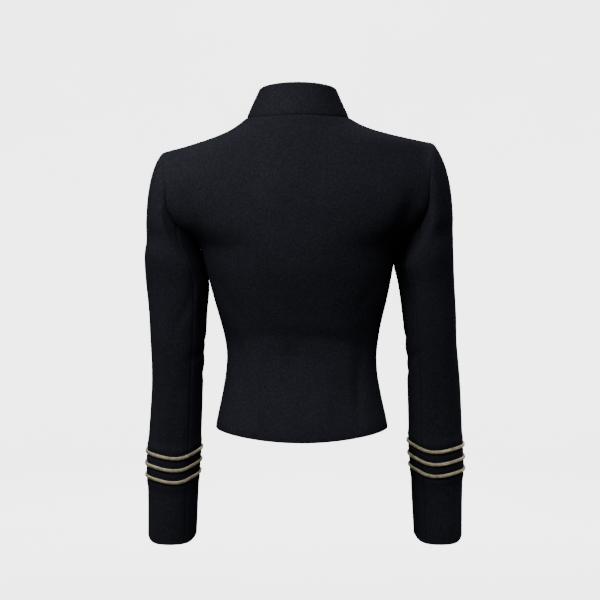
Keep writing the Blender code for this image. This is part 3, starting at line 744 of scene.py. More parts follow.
def add_lines(grid, end):
    """Adds rows to a grid of values near its first row (end 0) or its last row (end -1).
    The first three values of each point are its place."""
    grid = grid if end == 0 else grid[::-1]
    step = np.linalg.norm(grid[1, :, :3] - grid[0, :, :3], axis=-1, keepdims=True)
    rows = [grid[0] + (grid[1] - grid[0]) * np.minimum(place / step, limit)
            for place, limit in zip(EDGE_LINES, EDGE_LINE_LIMITS)]
    grid = np.concatenate([grid[:1], np.array(rows), grid[1:]])
    return grid if end == 0 else grid[::-1]


def edge_distance(points, axis, end):
    """The distance of each point from one edge, measured along its grid line."""
    points = points if axis == 0 else points.transpose(1, 0, 2)
    points = points if end == 0 else points[::-1]
    run = np.linalg.norm(np.diff(points, axis=0), axis=-1)
    away = np.vstack([np.zeros(points.shape[1]), np.cumsum(run, axis=0)])
    away = away if end == 0 else away[::-1]
    return away if axis == 0 else away.T


def edge_turn(away):
    """How far the two faces of a cloth edge turn in towards each other."""
    rest = np.clip(EDGE_TURN - away, 0.0, EDGE_TURN)
    return EDGE_TURN - np.sqrt(EDGE_TURN**2 - rest**2)


def measure(points):
    """Flat coordinates in metres for a grid of points, along its rows and its columns."""
    along = np.linalg.norm(np.diff(points, axis=1), axis=-1)
    along = np.hstack([np.zeros((len(points), 1)), np.cumsum(along, axis=1)])
    along = along - along[:, -1:] / 2
    up = edge_distance(points, 0, 0)
    return np.stack([along, up], -1) * MM


def in_scene(name, data):
    """An object with this data, linked to the scene."""
    thing = bpy.data.objects.new(name, data)
    bpy.context.scene.collection.objects.link(thing)
    return thing


def new_piece(name, points, faces, flat=None):
    """A piece from points in millimetres, with flat coordinates for its weave."""
    mesh = bpy.data.meshes.new(name)
    mesh.from_pydata((np.asarray(points) * MM).tolist(), [], faces)
    if flat is not None:
        layer = mesh.uv_layers.new(name="cloth")
        order = np.zeros(len(mesh.loops), int)
        mesh.loops.foreach_get("vertex_index", order)
        layer.data.foreach_set("uv", flat[order].ravel())
    mesh.update()
    mesh.shade_smooth()
    return in_scene(name, mesh)


def shell_faces(rows, columns):
    """The faces of a closed shell: the outer grid, the inner grid and the rim between them."""
    index = np.arange(rows * columns).reshape(rows, columns).tolist()
    inner = rows * columns
    faces = []
    for low, high in zip(index, index[1:]):
        for a, b, c, d in zip(low, low[1:], high[1:], high):
            faces += [(a, b, c, d), (d + inner, c + inner, b + inner, a + inner)]
    right = [row[-1] for row in index[1:]]
    left = [row[0] for row in index[-2:0:-1]]
    rim = [*index[0], *right, *index[-1][-2::-1], *left]
    faces += [(b, a, a + inner, b + inner) for a, b in zip(rim, rim[1:] + rim[:1])]
    return faces


def cloth_piece(name, outer, into, thickness, edges, turn_up=None):
    """A closed piece of cloth. edges says for the first row, last row, first column and last
    column whether each is a "seam" or a "fold"; turn_up is the row edge with a turned hem."""
    values = np.concatenate([outer, into], axis=-1)
    for end in (0, -1):
        if turn_up == end:
            values = hem_lines(values, end)
        values = add_lines(values, end)
        values = add_lines(values.transpose(1, 0, 2), end).transpose(1, 0, 2)
    outer, into = values[..., :3], values[..., 3:]
    turned = np.zeros(outer.shape[:2])
    rolled = np.zeros(outer.shape[:2])
    thick = np.full(outer.shape[:2], float(thickness))
    for kind, (axis, end) in zip(edges, ((0, 0), (0, -1), (1, 0), (1, -1))):
        away = edge_distance(outer, axis, end)
        turned = np.maximum(turned, edge_turn(away))
        if kind == "seam":
            rolled = np.maximum(rolled, SEAM_ROLL * bell(away / SEAM_ROLL_WIDTH))
        if axis == 0 and turn_up == end:
            thick = thick + TURN_UP_CLOTH * (away < TURN_UP + HEM_STEP / 2)
    face = outer + into * (rolled + turned)[..., None]
    wall = np.maximum(thick - turned, rolled + turned + LEAST_WALL)
    inside = outer + into * wall[..., None]
    rows, columns = face.shape[:2]
    faces = shell_faces(rows, columns)
    i, j = rows // 2, columns // 2
    facing = np.cross(face[i, j + 1] - face[i, j], face[i + 1, j] - face[i, j])
    if np.dot(facing, into[i, j]) > 0:
        faces = [corners[::-1] for corners in faces]
    points = np.concatenate([face.reshape(-1, 3), inside.reshape(-1, 3)])
    flat = np.tile(measure(outer).reshape(-1, 2), (2, 1))
    return new_piece(name, points, faces, flat), cut_size(name, outer)


def level_width(outer):
    """The widest level measure across a panel, in millimetres."""
    widest = 0.0
    outer = outer if outer[0, :, 2].mean() > outer[-1, :, 2].mean() else outer[::-1]
    lowest, highest = outer[..., 2].min(), outer[..., 2].max()
    for height in np.arange(lowest + MEASURE_STEP, highest, MEASURE_STEP):
        line = [[np.interp(-height, -column[:, 2], column[:, k]) for k in (0, 1)]
                for column in outer.transpose(1, 0, 2)
                if column[-1, 2] <= height <= column[0, 2]]
        if len(line) > 1:
            widest = max(widest, np.linalg.norm(np.diff(line, axis=0), axis=-1).sum())
    return widest


def straight_length(outer):
    """The measure straight down a body panel from its highest point, in millimetres."""
    across = outer.reshape(-1, 3)[outer[..., 2].argmax(), 0]
    line = []
    for row in outer:
        row = row if row[0, 0] < row[-1, 0] else row[::-1]
        if row[0, 0] <= across <= row[-1, 0]:
            line.append([np.interp(across, row[:, 0], row[:, k]) for k in (1, 2)])
    return np.linalg.norm(np.diff(line, axis=0), axis=-1).sum()


def cut_size(name, outer):
    """The width, the length and the area, in metres, of the cloth that shows in a panel. A body
    panel is measured straight down, a sleeve or a collar along its longest line."""
    collar = name == "jacket_collar"
    body = name.startswith("jacket_") and not collar
    width = edge_distance(outer, 1, 0)[:, -1].max() if collar else level_width(outer)
    length = straight_length(outer) if body else edge_distance(outer, 0, 0)[-1].max()
    across = np.diff(outer, axis=1)[:-1]
    up = np.diff(outer, axis=0)[:, :-1]
    area = np.linalg.norm(np.cross(across, up), axis=-1).sum() * MM * MM
    return round(width * MM, 3), round(length * MM, 3), round(area, 4)


def hem_lines(values, end):
    """Two close rows where the turned-up hem ends, so that its edge shows inside."""
    values = values if end == 0 else values[::-1]
    for place in (TURN_UP, TURN_UP + HEM_STEP):
        away = edge_distance(values[..., :3], 0, 0).mean(axis=1)
        row = int(np.searchsorted(away, place))
        share = (place - away[row - 1]) / (away[row] - away[row - 1])
        if min(share, 1 - share) > HEM_LINE_ROOM:
            extra = values[row - 1] * (1 - share) + values[row] * share
            values = np.insert(values, row, extra, axis=0)
    return values if end == 0 else values[::-1]


def fit_armhole(outer, into, column, side, face):
    """Gives a panel's armhole edge the shared turn of its seam with the sleeve."""
    seam_into, seam_out = armhole_seam(side)
    count = len(seam_into)
    for step in range(ARMHOLE_STEPS * FINER + 1):
        k = (count // 2 - step) if face == "back" else (count // 2 + step) % count
        row = SIDE_STEPS * FINER + step
        outer[row, column] -= seam_out[k] * SEAM_GAP / 2
        into[row, column] = seam_into[k]


def rounded_over(outer):
    """Softens the level ridge between a panel's upright part and its slope to the neck. The
    panel's edges stay where the seams need them."""
    for _ in range(SHOULDER_ROUNDS):
        along = (outer[2:, 1:-1] + outer[:-2, 1:-1]) / 2 - outer[1:-1, 1:-1]
        across = (outer[1:-1, 2:] + outer[1:-1, :-2]) / 2 - outer[1:-1, 1:-1]
        high = outer[1:-1, 1:-1, 2]
        near = bell((high - SHOULDER_RIDGE) / SHOULDER_REACH)[..., None]
        shift = along * SHOULDER_EASE_ALONG + across * SHOULDER_EASE_ACROSS
        outer[1:-1, 1:-1] += near * shift
    return outer


def seam_shift(edge, neighbour):
    """Half a seam's gap, from an edge towards the grid line beside it."""
    return unit(neighbour - edge) * SEAM_GAP / 2


def make_back():
    """The back panel, with its edges shaped for their seams."""
    angle, height = back_grid()
    outer = rounded_over(folded_body(angle, height))
    into = -body_normal(angle, height)
    outer += into * body_creases(outer, BACK_CREASES, 1.0)[..., None]
    armhole_end = (SIDE_STEPS + ARMHOLE_STEPS) * FINER
    for edge, neighbour in ((0, 1), (-1, -2)):
        shift = seam_shift(outer[:, edge], outer[:, neighbour])
        shift[SIDE_STEPS * FINER + 1:armhole_end] = 0.0
        outer[:, edge] += shift
    fit_armhole(outer, into, 0, "left", "back")
    fit_armhole(outer, into, -1, "right", "back")
    neck_into, neck_up = neck_seam()
    span = slice(NECK_STEPS * FINER, (NECK_STEPS + 2 * HALF_BACK_STEPS) * FINER + 1)
    outer[-1] -= neck_up[span][::-1] * SEAM_GAP / 2
    into[-1] = neck_into[span][::-1]
    return cloth_piece("jacket_back", outer, into, CLOTH,
                       ("fold", "seam", "seam", "seam"), turn_up=0)


def front_surface(side):
    """Outer points of a front and the ways into its cloth."""
    angle, height = front_grid(side)
    outer = rounded_over(folded_body(angle, height))
    into = -body_normal(angle, height)
    if side == "left":
        under = LAP_DEPTH * (1 - smooth((outer[..., 0] - LAP - LAP_MARGIN) / LAP_BLEND))
        outer = outer + into * under[..., None]
    outer += into * body_creases(outer, FRONT_CREASES, -1.0)[..., None]
    side_shift = seam_shift(outer[:, 0], outer[:, 1])
    side_shift[SIDE_STEPS * FINER + 1:] = 0.0
    top_shift = seam_shift(outer[-1], outer[-2])
    outer[:, 0] += side_shift
    outer[-1] += top_shift
    fit_armhole(outer, into, 0, side, "front")
    neck_into, neck_up = neck_seam()
    count = NECK_STEPS * FINER + 1
    if side == "right":
        rows = np.concatenate([np.full(FINER, len(neck_up) - 2), np.arange(count)])
    else:
        rows = np.concatenate([np.full(FINER, 1), len(neck_up) - 1 - np.arange(count)])
    outer[-len(rows):, -1] -= neck_up[rows] * SEAM_GAP / 2
    into[-len(rows):, -1] = neck_into[rows]
    return outer, into


def make_front(side):
    """One front panel. The right one laps over the left."""
    outer, into = front_surface(side)
    return cloth_piece("jacket_front_" + side, outer, into, CLOTH,
                       ("fold", "seam", "seam", "fold"), turn_up=0)


def make_collar():
    """The standing collar, open at the centre front."""
    base = body_point(*neck_ring())
    into, up = neck_seam()
    rise, high = collar_rise()
    share = np.linspace(0.0, 1.0, COLLAR_STEPS * FINER + 1)[:, None, None]
    outer = base + up * SEAM_GAP / 2 + rise * high * share
    for edge, neighbour in ((0, 1), (-1, -2)):
        way = unit(outer[:, neighbour] - outer[:, edge])
        outer[:, edge] += way * COLLAR_FRONT_GAP / 2 * (1 + COLLAR_GAP_WIDENING * share[:, 0])
    last_step = np.clip(share[:, 0, 0] * COLLAR_STEPS - (COLLAR_STEPS - 1), 0.0, 1.0)
    corner = COLLAR_CORNER_DROP * last_step
    for column, much in enumerate(COLLAR_CORNER_SHARES):
        outer[:, column, 2] -= corner * much
        outer[:, -1 - column, 2] -= corner * much
    across = unit(np.cross(rise, np.gradient(base, axis=0)))
    across = across if np.sum(across * into) < 0 else -across
    inward = np.repeat(-across[None], len(outer), axis=0)
    inward[0] = into
    bow = COLLAR_BOW * np.sin(math.pi * share) * np.sin(base[:, :1] / COLLAR_BOW_SPACING)
    outer = outer + inward * bow
    return cloth_piece("jacket_collar", outer, inward, COLLAR_CLOTH,
                       ("seam", "fold", "fold", "fold"))


def dressed_sleeve(side):
    """The whole sleeve's outer points with their creases, and the ways into the cloth."""
    surface = sleeve_surface(side)
    into = -grid_normals(surface)
    surface = surface + into * sleeve_creases(side, surface)[..., None]
    into = -grid_normals(surface)
    into[0], out = armhole_seam(side)
    surface[0] += out * SEAM_GAP / 2
    return surface, into


def make_sleeve(side):
    """The top and under pieces of one sleeve, cut from the same closed grid."""
    surface, into = dressed_sleeve(side)
    count = surface.shape[1]
    first, last = UNDER_SLEEVE_FROM * FINER, UNDER_SLEEVE_TO * FINER
    under = np.arange(first, last + 1)
    top = np.arange(last, first + count + 1) % count
    pieces = []
    for cut, columns in (("top", top), ("under", under)):
        grid = surface[:, columns].copy()
        for edge, neighbour in ((0, 1), (-1, -2)):
            grid[:, edge] += seam_shift(grid[:, edge], grid[:, neighbour])
        pieces.append(cloth_piece(f"sleeve_{side}_{cut}_cloth", grid, into[:, columns], CLOTH,
                                  ("seam", "fold", "seam", "seam"), turn_up=-1))
    return pieces


# Braids, buttons and stitches

def guide_line(points, out):
    """A closed line of points with the outward direction at each, for a node tree to follow."""
    mesh = bpy.data.meshes.new("guide")
    count = len(points)
    mesh.from_pydata((points * MM).tolist(), [(k, (k + 1) % count) for k in range(count)], [])
    layer = mesh.attributes.new("out", "FLOAT_VECTOR", "POINT")
    layer.data.foreach_set("vector", out.astype(np.float32).ravel())
    return in_scene("guide", mesh)


def braid_line(sleeve, back_height):
    """Points round the cuff where a braid lies, with the outward direction at each."""
    surface, into = sleeve
    turn = np.degrees(sleeve_turns())
    height = back_height + BRAID_RISE.read("rise", turn)
    points, outs = [], []
    for k, at in enumerate(height):
        row = int(np.searchsorted(-surface[:, k, 2], -at)) - 1
        share = (surface[row, k, 2] - at) / (surface[row, k, 2] - surface[row + 1, k, 2])
        points.append(surface[row, k] * (1 - share) + surface[row + 1, k] * share)
        outs.append(-unit(into[row, k] * (1 - share) + into[row + 1, k] * share))
    return np.array(points), np.array(outs)


class Wire:
    """A node's output. Arithmetic on it adds the Math nodes that it needs."""

    def __init__(self, tree, socket):
        self.tree = tree
        self.socket = socket

    def maths(self, operation, *values):
        return self.tree.node("ShaderNodeMath", {"operation": operation},
                              dict(enumerate(values)))

    def __add__(self, other):
        return self.maths("ADD", self, other)

    def __sub__(self, other):
        return self.maths("SUBTRACT", self, other)

    def __rsub__(self, other):
        return self.maths("SUBTRACT", other, self)

    def __mul__(self, other):
        return self.maths("MULTIPLY", self, other)

    def __truediv__(self, other):
        return self.maths("DIVIDE", self, other)

    def __rtruediv__(self, other):
        return self.maths("DIVIDE", other, self)

    __radd__ = __add__
    __rmul__ = __mul__

    def sin(self):
        return self.maths("SINE", self)

    def cos(self):
        return self.maths("COSINE", self)

    def clamp(self):
        return self.maths("MINIMUM", self.maths("MAXIMUM", self, 0.0), 1.0)


class Bench:
    """A node tree that is being wired up."""

    def __init__(self, tree):
        self.tree = tree

    def node(self, kind, settings=None, inputs=None, output=0):
        """Adds a node: its settings first, then the values or links of its sockets."""
        made = self.tree.nodes.new(kind)
        for key, value in (settings or {}).items():
            if key == "stops":
                set_stops(made.color_ramp, value)
            else:
                setattr(made, key, value)
        for key, value in (inputs or {}).items():
            socket = made.inputs[key]
            if isinstance(value, Wire):
                self.tree.links.new(value.socket, socket)
            else:
                socket.default_value = value
        if not made.outputs:
            return made
        return Wire(self, made.outputs[output])

    def out(self, wire, output):
        """Another output of the node that a wire comes from."""
        return Wire(self, wire.socket.node.outputs[output])

    def place(self):
        """The place on the piece itself, in metres."""
        return self.node("ShaderNodeTexCoord", None, None, 3)

    def noise(self, place, scale, **more):
        sockets = {name.capitalize(): value for name, value in more.items()}
        return self.node("ShaderNodeTexNoise", None,
                         {"Vector": place, "Scale": scale, **sockets})

    def bump(self, strength, distance, height):
        return self.node("ShaderNodeBump", None,
                         {"Strength": strength, "Distance": distance, "Height": height})

    def ramp(self, tone, *stops):
        """Colours by tone. Each stop is a tone and its colour."""
        return self.node("ShaderNodeValToRGB", {"stops": stops}, {"Fac": tone})

    def vector(self, operation, **sockets):
        """A Vector Math node, with its sockets as first, second and scale."""
        keys = {"first": 0, "second": 1, "scale": "Scale"}
        return self.node("ShaderNodeVectorMath", {"operation": operation},
                         {keys[name]: value for name, value in sockets.items()})

    def line_ways(self):
        """The outward, forward and sideways directions at each point of a guide line."""
        out = self.node("GeometryNodeInputNamedAttribute", {"data_type": "FLOAT_VECTOR"},
                        {"Name": "out"})
        forward = self.node("GeometryNodeInputTangent")
        return out, forward, self.vector("CROSS_PRODUCT", first=forward, second=out)

    def keep(self, geometry, name, value):
        """Stores a value at every point under a name that a material can read."""
        return self.node("GeometryNodeStoreNamedAttribute",
                         {"data_type": "FLOAT", "domain": "POINT"},
                         {"Geometry": geometry, "Name": name, "Value": value})

    def end_tree(self, made, material):
        """Ends a geometry tree with real, smooth faces in their material."""
        made = self.node("GeometryNodeRealizeInstances", None, {"Geometry": made})
        made = self.node("GeometryNodeSetShadeSmooth", None, {"Geometry": made})
        made = self.node("GeometryNodeSetMaterial", None,
                         {"Geometry": made, "Material": material})
        self.tree.links.new(made.socket, self.tree.nodes.new("NodeGroupOutput").inputs[0])
        return self.tree


def set_stops(ramp, stops):
    while len(ramp.elements) < len(stops):
        ramp.elements.new(1.0)
    for element, (place, colour) in zip(ramp.elements, stops):
        element.position = place
        element.color = (*colour, 1.0)


def plain_mesh(name, guide, tree, sizes):
    """Runs a node tree on a guide line and keeps the result as a plain mesh."""
    modifier = guide.modifiers.new("made", "NODES")
    modifier.node_group = tree
    for item in tree.interface.items_tree:
        if item.item_type == "SOCKET" and item.in_out == "INPUT" and item.name in sizes:
            modifier[item.identifier] = sizes[item.name]
    evaluated = guide.evaluated_get(bpy.context.evaluated_depsgraph_get())
    mesh = bpy.data.meshes.new_from_object(evaluated)
    mesh.name = name
    guide.modifiers.remove(modifier)
    bpy.data.objects.remove(guide, do_unlink=True)
    return in_scene(name, mesh)


def new_tree(name, sizes):
    """The bench of an empty geometry tree, and its inputs: a line and the named sizes."""
    tree = bpy.data.node_groups.new(name, "GeometryNodeTree")
    inputs = {"Line": "Geometry", **sizes}
    for size, kind in inputs.items():
        tree.interface.new_socket(size, in_out="INPUT", socket_type="NodeSocket" + kind)
    tree.interface.new_socket("Made", in_out="OUTPUT", socket_type="NodeSocketGeometry")
    bench = Bench(tree)
    given = bench.node("NodeGroupInput")
    return bench, {size: bench.out(given, size) for size in inputs}


def twisted_cord_tree(material):
    """Cords that wind round each other along a line, flatter against the cloth than across."""
    bench, size = new_tree("twisted_cord", {
        "Points": "Int", "Cords": "Int", "Turns": "Float", "Across": "Float", "Rise": "Float",
        "Lift": "Float", "Cord radius": "Float"})
    line = bench.node("GeometryNodeMeshToCurve", None, {"Mesh": size["Line"]})
    line = bench.node("GeometryNodeResampleCurve", None,
                      {"Curve": line, "Count": size["Points"]})
    cords = bench.node("GeometryNodeDuplicateElements", {"domain": "SPLINE"},
                       {"Geometry": line, "Amount": size["Cords"]})
    which = bench.out(cords, "Duplicate Index")
    along = bench.node("GeometryNodeSplineParameter")
    out, _, sideways = bench.line_ways()
    winding = (along * size["Turns"] + which / size["Cords"]) * (2 * math.pi)
    across = winding.cos() * size["Across"]
    rise = winding.sin() * size["Rise"] + size["Lift"]
    move = bench.vector("ADD", first=bench.vector("SCALE", first=sideways, scale=across),
                        second=bench.vector("SCALE", first=out, scale=rise))
    wound = bench.node("GeometryNodeSetPosition", None, {"Geometry": cords, "Offset": move})
    length = bench.node("GeometryNodeSplineParameter", None, None, 1)
    wound = bench.keep(wound, "along", length)
    ring = bench.node("GeometryNodeCurvePrimitiveCircle", None,
                      {"Resolution": 10, "Radius": size["Cord radius"]})
    ring = bench.keep(ring, "around", bench.node("GeometryNodeSplineParameter"))
    body = bench.node("GeometryNodeCurveToMesh", None,
                      {"Curve": wound, "Profile Curve": ring})
    return bench.end_tree(body, material)


def stitch_tree(material):
    """Small thread stitches laid end to end along a line, or across it."""
    bench, size = new_tree("stitches", {
        "Spacing": "Float", "Length": "Float", "Thread radius": "Float", "Across": "Bool"})
    radius = size["Thread radius"]
    line = bench.node("GeometryNodeMeshToCurve", None, {"Mesh": size["Line"]})
    spots = bench.node("GeometryNodeResampleCurve", {"mode": "LENGTH"},
                       {"Curve": line, "Length": size["Spacing"]})
    out, forward, sideways = bench.line_ways()
    run = bench.node("GeometryNodeSwitch", {"input_type": "VECTOR"},
                     {"Switch": size["Across"], "False": forward, "True": sideways})
    to_out = bench.node("FunctionNodeAlignRotationToVector", {"axis": "Z"}, {"Vector": out})
    facing = bench.node("FunctionNodeAlignRotationToVector", {"axis": "X", "pivot_axis": "Z"},
                        {"Rotation": to_out, "Vector": run})
    thread = bench.node("GeometryNodeCurvePrimitiveLine", {"mode": "DIRECTION"},
                        {"Direction": (1.0, 0.0, 0.0), "Length": size["Length"]})
    thread = bench.node("GeometryNodeResampleCurve", None, {"Curve": thread, "Count": 5})
    bow = (bench.node("GeometryNodeSplineParameter") * math.pi).sin()
    lift = bench.node("ShaderNodeCombineXYZ", None, {
        "X": size["Length"] * -0.5, "Z": bow * radius * STITCH_BOW - radius * STITCH_SINK})
    thread = bench.node("GeometryNodeSetPosition", None, {"Geometry": thread, "Offset": lift})
    ring = bench.node("GeometryNodeCurvePrimitiveCircle", None,
                      {"Resolution": 6, "Radius": radius})
    thread = bench.node("GeometryNodeCurveToMesh", None,
                        {"Curve": thread, "Profile Curve": ring, "Fill Caps": True})
    laid = bench.node("GeometryNodeInstanceOnPoints", None,
                      {"Points": spots, "Instance": thread, "Rotation": facing})
    return bench.end_tree(laid, material)


def make_braid(side, number, sleeve, tree):
    """One ring of twisted cord round a cuff."""
    points, outs = braid_line(sleeve, BRAIDS[side][number - 1])
    length = np.linalg.norm(np.roll(points, -1, axis=0) - points, axis=-1).sum()
    turns = float(round(length / BRAID_TURN_LENGTH))
    return plain_mesh(f"cuff_braid_{side}_{number}", guide_line(points, outs), tree, {
        "Points": int(length / BRAID_POINT_STEP), "Cords": BRAID_CORDS, "Turns": turns,
        "Across": BRAID_ACROSS * MM, "Rise": BRAID_RISE_HALF * MM,
        "Lift": BRAID_LIFT * MM, "Cord radius": BRAID_CORD_RADIUS * MM})


# A button's turned profile, as radius and height, from the middle of its face to its back
BUTTON_PROFILE = (
    (0.0, 1.9), (3.4, 2.0), (4.6, 2.35), (5.2, 2.95), (5.9, 3.35), (6.5, 3.4), (7.1, 3.1),
    (7.45, 2.5), (7.5, 1.7), (7.2, 1.0), (6.4, 0.45), (4.0, 0.25), (0.0, 0.25),
)
BUTTON_SIDES = 40
BUTTON_GAP = 0.3

# Buttonholes: half length and half width of each, how far its middle lies from the button's,
# and its stitches
HOLE_HALF_LENGTH = 8.0
HOLE_HALF_WIDTH = 0.75
HOLE_SHIFT = 4.0
HOLE_LIFT = 0.18
HOLE_POINTS = 48
HOLE_STITCH = 1.3
HOLE_STITCH_SPACING = 0.55
HOLE_THREAD = 0.2

# How high each stitch bows and how deep it sinks, in thread radii
STITCH_BOW = 1.4
STITCH_SINK = 0.4


def level_ways(normal):
    """The level way and the upward way across a surface that faces along normal."""
    level = unit(np.cross([0.0, 0.0, 1.0], normal))
    return level, np.cross(normal, level)


def turned_faces(rings, sides):
    """The faces of a turned form whose middle point comes first, and then its rings."""
    faces = []
    for k in range(sides):
        after = (k + 1) % sides
        faces.append((0, 1 + k, 1 + after))
        for a in range(1, 1 + (rings - 1) * sides, sides):
            faces.append((a + k, a + sides + k, a + sides + after, a + after))
    return faces


def button_middle(number):
    """The middle of a button on the lap, from its node's box."""
    low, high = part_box(f"button_{number}")
    return (np.array(low) + np.array(high)) / 2 / MM


def make_button(number, front):
    """A plain turned button with a raised rim, facing out of the front's lap."""
    outer, into = front
    middle = button_middle(number)
    away = np.linalg.norm(outer - middle, axis=-1)
    near = np.unravel_index(np.argmin(away), away.shape)
    normal = -unit(into[near])
    base = middle - normal * np.dot(middle - outer[near], normal) + normal * BUTTON_GAP
    level, up = level_ways(normal)
    turn = np.linspace(0.0, 2 * math.pi, BUTTON_SIDES, endpoint=False)
    points = [base + normal * BUTTON_PROFILE[0][1]]
    for radius, height in BUTTON_PROFILE[1:-1]:
        points += [base + normal * height + radius * (level * math.cos(t) + up * math.sin(t))
                   for t in turn]
    points.append(base + normal * BUTTON_PROFILE[-1][1])
    rings = len(BUTTON_PROFILE) - 2
    faces = turned_faces(rings, BUTTON_SIDES)
    last, end = 1 + (rings - 1) * BUTTON_SIDES, len(points) - 1
    faces += [(last + k, end, last + (k + 1) % BUTTON_SIDES) for k in range(BUTTON_SIDES)]
    return new_piece(f"front_button_{number}", points, faces), base, normal


def make_buttonhole(number, base, normal, tree):
    """Thread stitches round the buttonhole that a button goes through, mostly hidden by it."""
    level, up = level_ways(normal)
    turn = np.linspace(0.0, 2 * math.pi, HOLE_POINTS, endpoint=False)
    points = [base + normal * HOLE_LIFT
              + level * (HOLE_SHIFT + HOLE_HALF_LENGTH * math.cos(t))
              + up * (HOLE_HALF_WIDTH * np.clip(3 * math.sin(t), -1.0, 1.0))
              for t in turn]
    guide = guide_line(np.array(points), np.tile(normal, (HOLE_POINTS, 1)))
    return plain_mesh(f"buttonhole_stitches_{number}", guide, tree, {
        "Spacing": HOLE_STITCH_SPACING * MM, "Length": HOLE_STITCH * MM,
        "Thread radius": HOLE_THREAD * MM, "Across": True})


# Finishes

def new_finish(name):
    """An empty material and its bench."""
    material = bpy.data.materials.new(name)
    material.use_nodes = True
    tree = material.node_tree
    tree.nodes.clear()
    return material, Bench(tree)


def finish_off(material, bench, inputs):
    """Closes a material with its one shader."""
    shader = bench.node("ShaderNodeBsdfPrincipled", None, inputs)
    bench.node("ShaderNodeOutputMaterial", None, {"Surface": shader})
    return material


# The waves of warp, weft and gold thread, in radians a metre, and how far a thread wanders
WARP = 5600.0
WEFT = 5200.0
THREAD_WANDER = 5.0
GOLD_THREAD = 9000.0
GOLD_THREAD_STARTS = 2


def wool_finish():
    """Near-black wool crepe: a pebbled, fine weave without shine."""
    material, bench = new_finish("black_wool_crepe")
    flat = bench.node("ShaderNodeUVMap", {"uv_map": "cloth"})
    parts = bench.node("ShaderNodeSeparateXYZ", None, {0: flat})
    across, up = bench.out(parts, "X"), bench.out(parts, "Y")
    place = bench.place()
    wander = bench.noise(place, 260.0, detail=2.0)
    warp = (across * WARP + wander * THREAD_WANDER).sin()
    weft = (up * WEFT + wander * THREAD_WANDER).sin()
    pebble = bench.noise(place, 620.0, detail=3.0, roughness=0.65)
    grain = bench.noise(place, 330.0, detail=3.0, roughness=0.6)
    cloud = bench.noise(place, 14.0, detail=2.0)
    relief = warp * weft * 0.22 + pebble * 0.9 + grain * 0.8
    tone = (grain * 1.6 + pebble * 1.0 + cloud * 0.35 - 1.02).clamp()
    return finish_off(material, bench, {
        "Base Color": bench.ramp(tone, (0.0, (0.0086, 0.0089, 0.0120)),
                                 (0.5, (0.0134, 0.0138, 0.0186)),
                                 (1.0, (0.0215, 0.0221, 0.0284))),
        "Roughness": pebble * 0.12 + 0.80,
        "Normal": bench.bump(0.42, 0.00045, relief),
        "Specular IOR Level": 0.0})


def gold_finish():
    """Dull gold thread, wound slantwise round each cord of the braid, with painted shade in the
    grooves between its windings.
    """
    material, bench = new_finish("dull_gold_cord")
    along, around = (bench.node("ShaderNodeAttribute", {"attribute_name": name}, None, 2)
                     for name in ("along", "around"))
    place = bench.place()
    winding = along * GOLD_THREAD + around * (2 * math.pi * GOLD_THREAD_STARTS)
    threads_and_groove_shade = winding.sin()
    worn = bench.noise(place, 170.0, detail=3.0)
    fine = bench.noise(place, 1500.0, detail=2.0)
    # Colour: the thread wave paints shade into the grooves between windings; worn and fine are
    # tone that differs at random
    tone = (threads_and_groove_shade * 0.16 + worn * 0.9 + fine * 0.25 - 0.12).clamp()
    return finish_off(material, bench, {
        "Base Color": bench.ramp(tone, (0.0, (0.11, 0.085, 0.050)),
                                 (0.5, (0.36, 0.315, 0.205)), (1.0, (0.74, 0.68, 0.50))),
        "Roughness": worn * 0.2 + 0.34,
        "Normal": bench.bump(0.6, 0.00025, threads_and_groove_shade + fine * 0.8),
        "Metallic": 0.45, "Specular IOR Level": 0.5})


def horn_finish():
    """Dark horn for the buttons, softly polished with faint streaks."""
    material, bench = new_finish("dark_horn")
    place = bench.place()
    streak = bench.noise(place, 190.0, detail=4.0, distortion=1.4)
    fine = bench.noise(place, 1400.0)
    return finish_off(material, bench, {
        "Base Color": bench.ramp(streak, (0.3, (0.006, 0.006, 0.007)),
                                 (0.7, (0.028, 0.024, 0.021))),
        "Roughness": streak * 0.2 + 0.24,
        "Normal": bench.bump(0.2, 0.0001, fine),
        "Coat Weight": 0.15, "Coat Roughness": 0.2})


def thread_finish():
    """Black sewing thread."""
    material, bench = new_finish("black_thread")
    ply = bench.noise(bench.place(), 2600.0, detail=2.0)
    return finish_off(material, bench, {
        "Base Color": bench.ramp(ply, (0.2, (0.010, 0.010, 0.013)),
                                 (0.8, (0.030, 0.030, 0.036))),
        "Roughness": 0.55, "Normal": bench.bump(0.4, 0.0001, ply), "Sheen Weight": 0.2})


def floor_finish():
    """Matt pale paint."""
    material, bench = new_finish("pale_floor")
    soft = bench.noise(bench.place(), 3.0)
    return finish_off(material, bench, {
        "Base Color": bench.ramp(soft, (0.0, (0.86, 0.86, 0.86)), (1.0, (0.90, 0.90, 0.90))),
        "Roughness": 0.9})


# Camera, light and floor

# Lengths from here on are in metres
FLOOR_HEIGHT = -1.40
SWEEP_RADIUS = 7.0
SWEEP_BEND = 2.6
SWEEP_TOP = 3.4
SWEEP_STEPS = 14
SWEEP_SIDES = 96

CAMERA_PLACE = (0.0, 2.0, -0.12)
CAMERA_TARGET = (-0.003, 0.0, -0.2715)
CAMERA_LENS = 80.2
CAMERA_SENSOR = 36.0
ROOM_LIGHT = 0.12

# Soft lights behind the jacket: place, target, width, height and power. Those in front of
# it mirror them.
LIGHTS = {
    "high_{}_light": ((0.12, 0.70, 1.05), (0.0, 0.0, -0.10), 0.8, 0.6, 13.0),
    "{}_key_light": ((0.58, 0.64, 0.40), (0.05, 0.0, -0.05), 0.6, 0.5, 9.0),
}

# Lights that brighten the sweep all round: their reach and height, and where they aim
WALLS = {"back": (0, -1), "front": (0, 1), "left": (1, 0), "right": (-1, 0)}
WALL_LIGHT_REACH = 2.6
WALL_LIGHT_HEIGHT = 3.0
WALL_TARGET_HEIGHT = -0.6
WALL_LIGHT_SIZE = (3.0, 1.0)
WALL_LIGHT_POWER = 1300.0


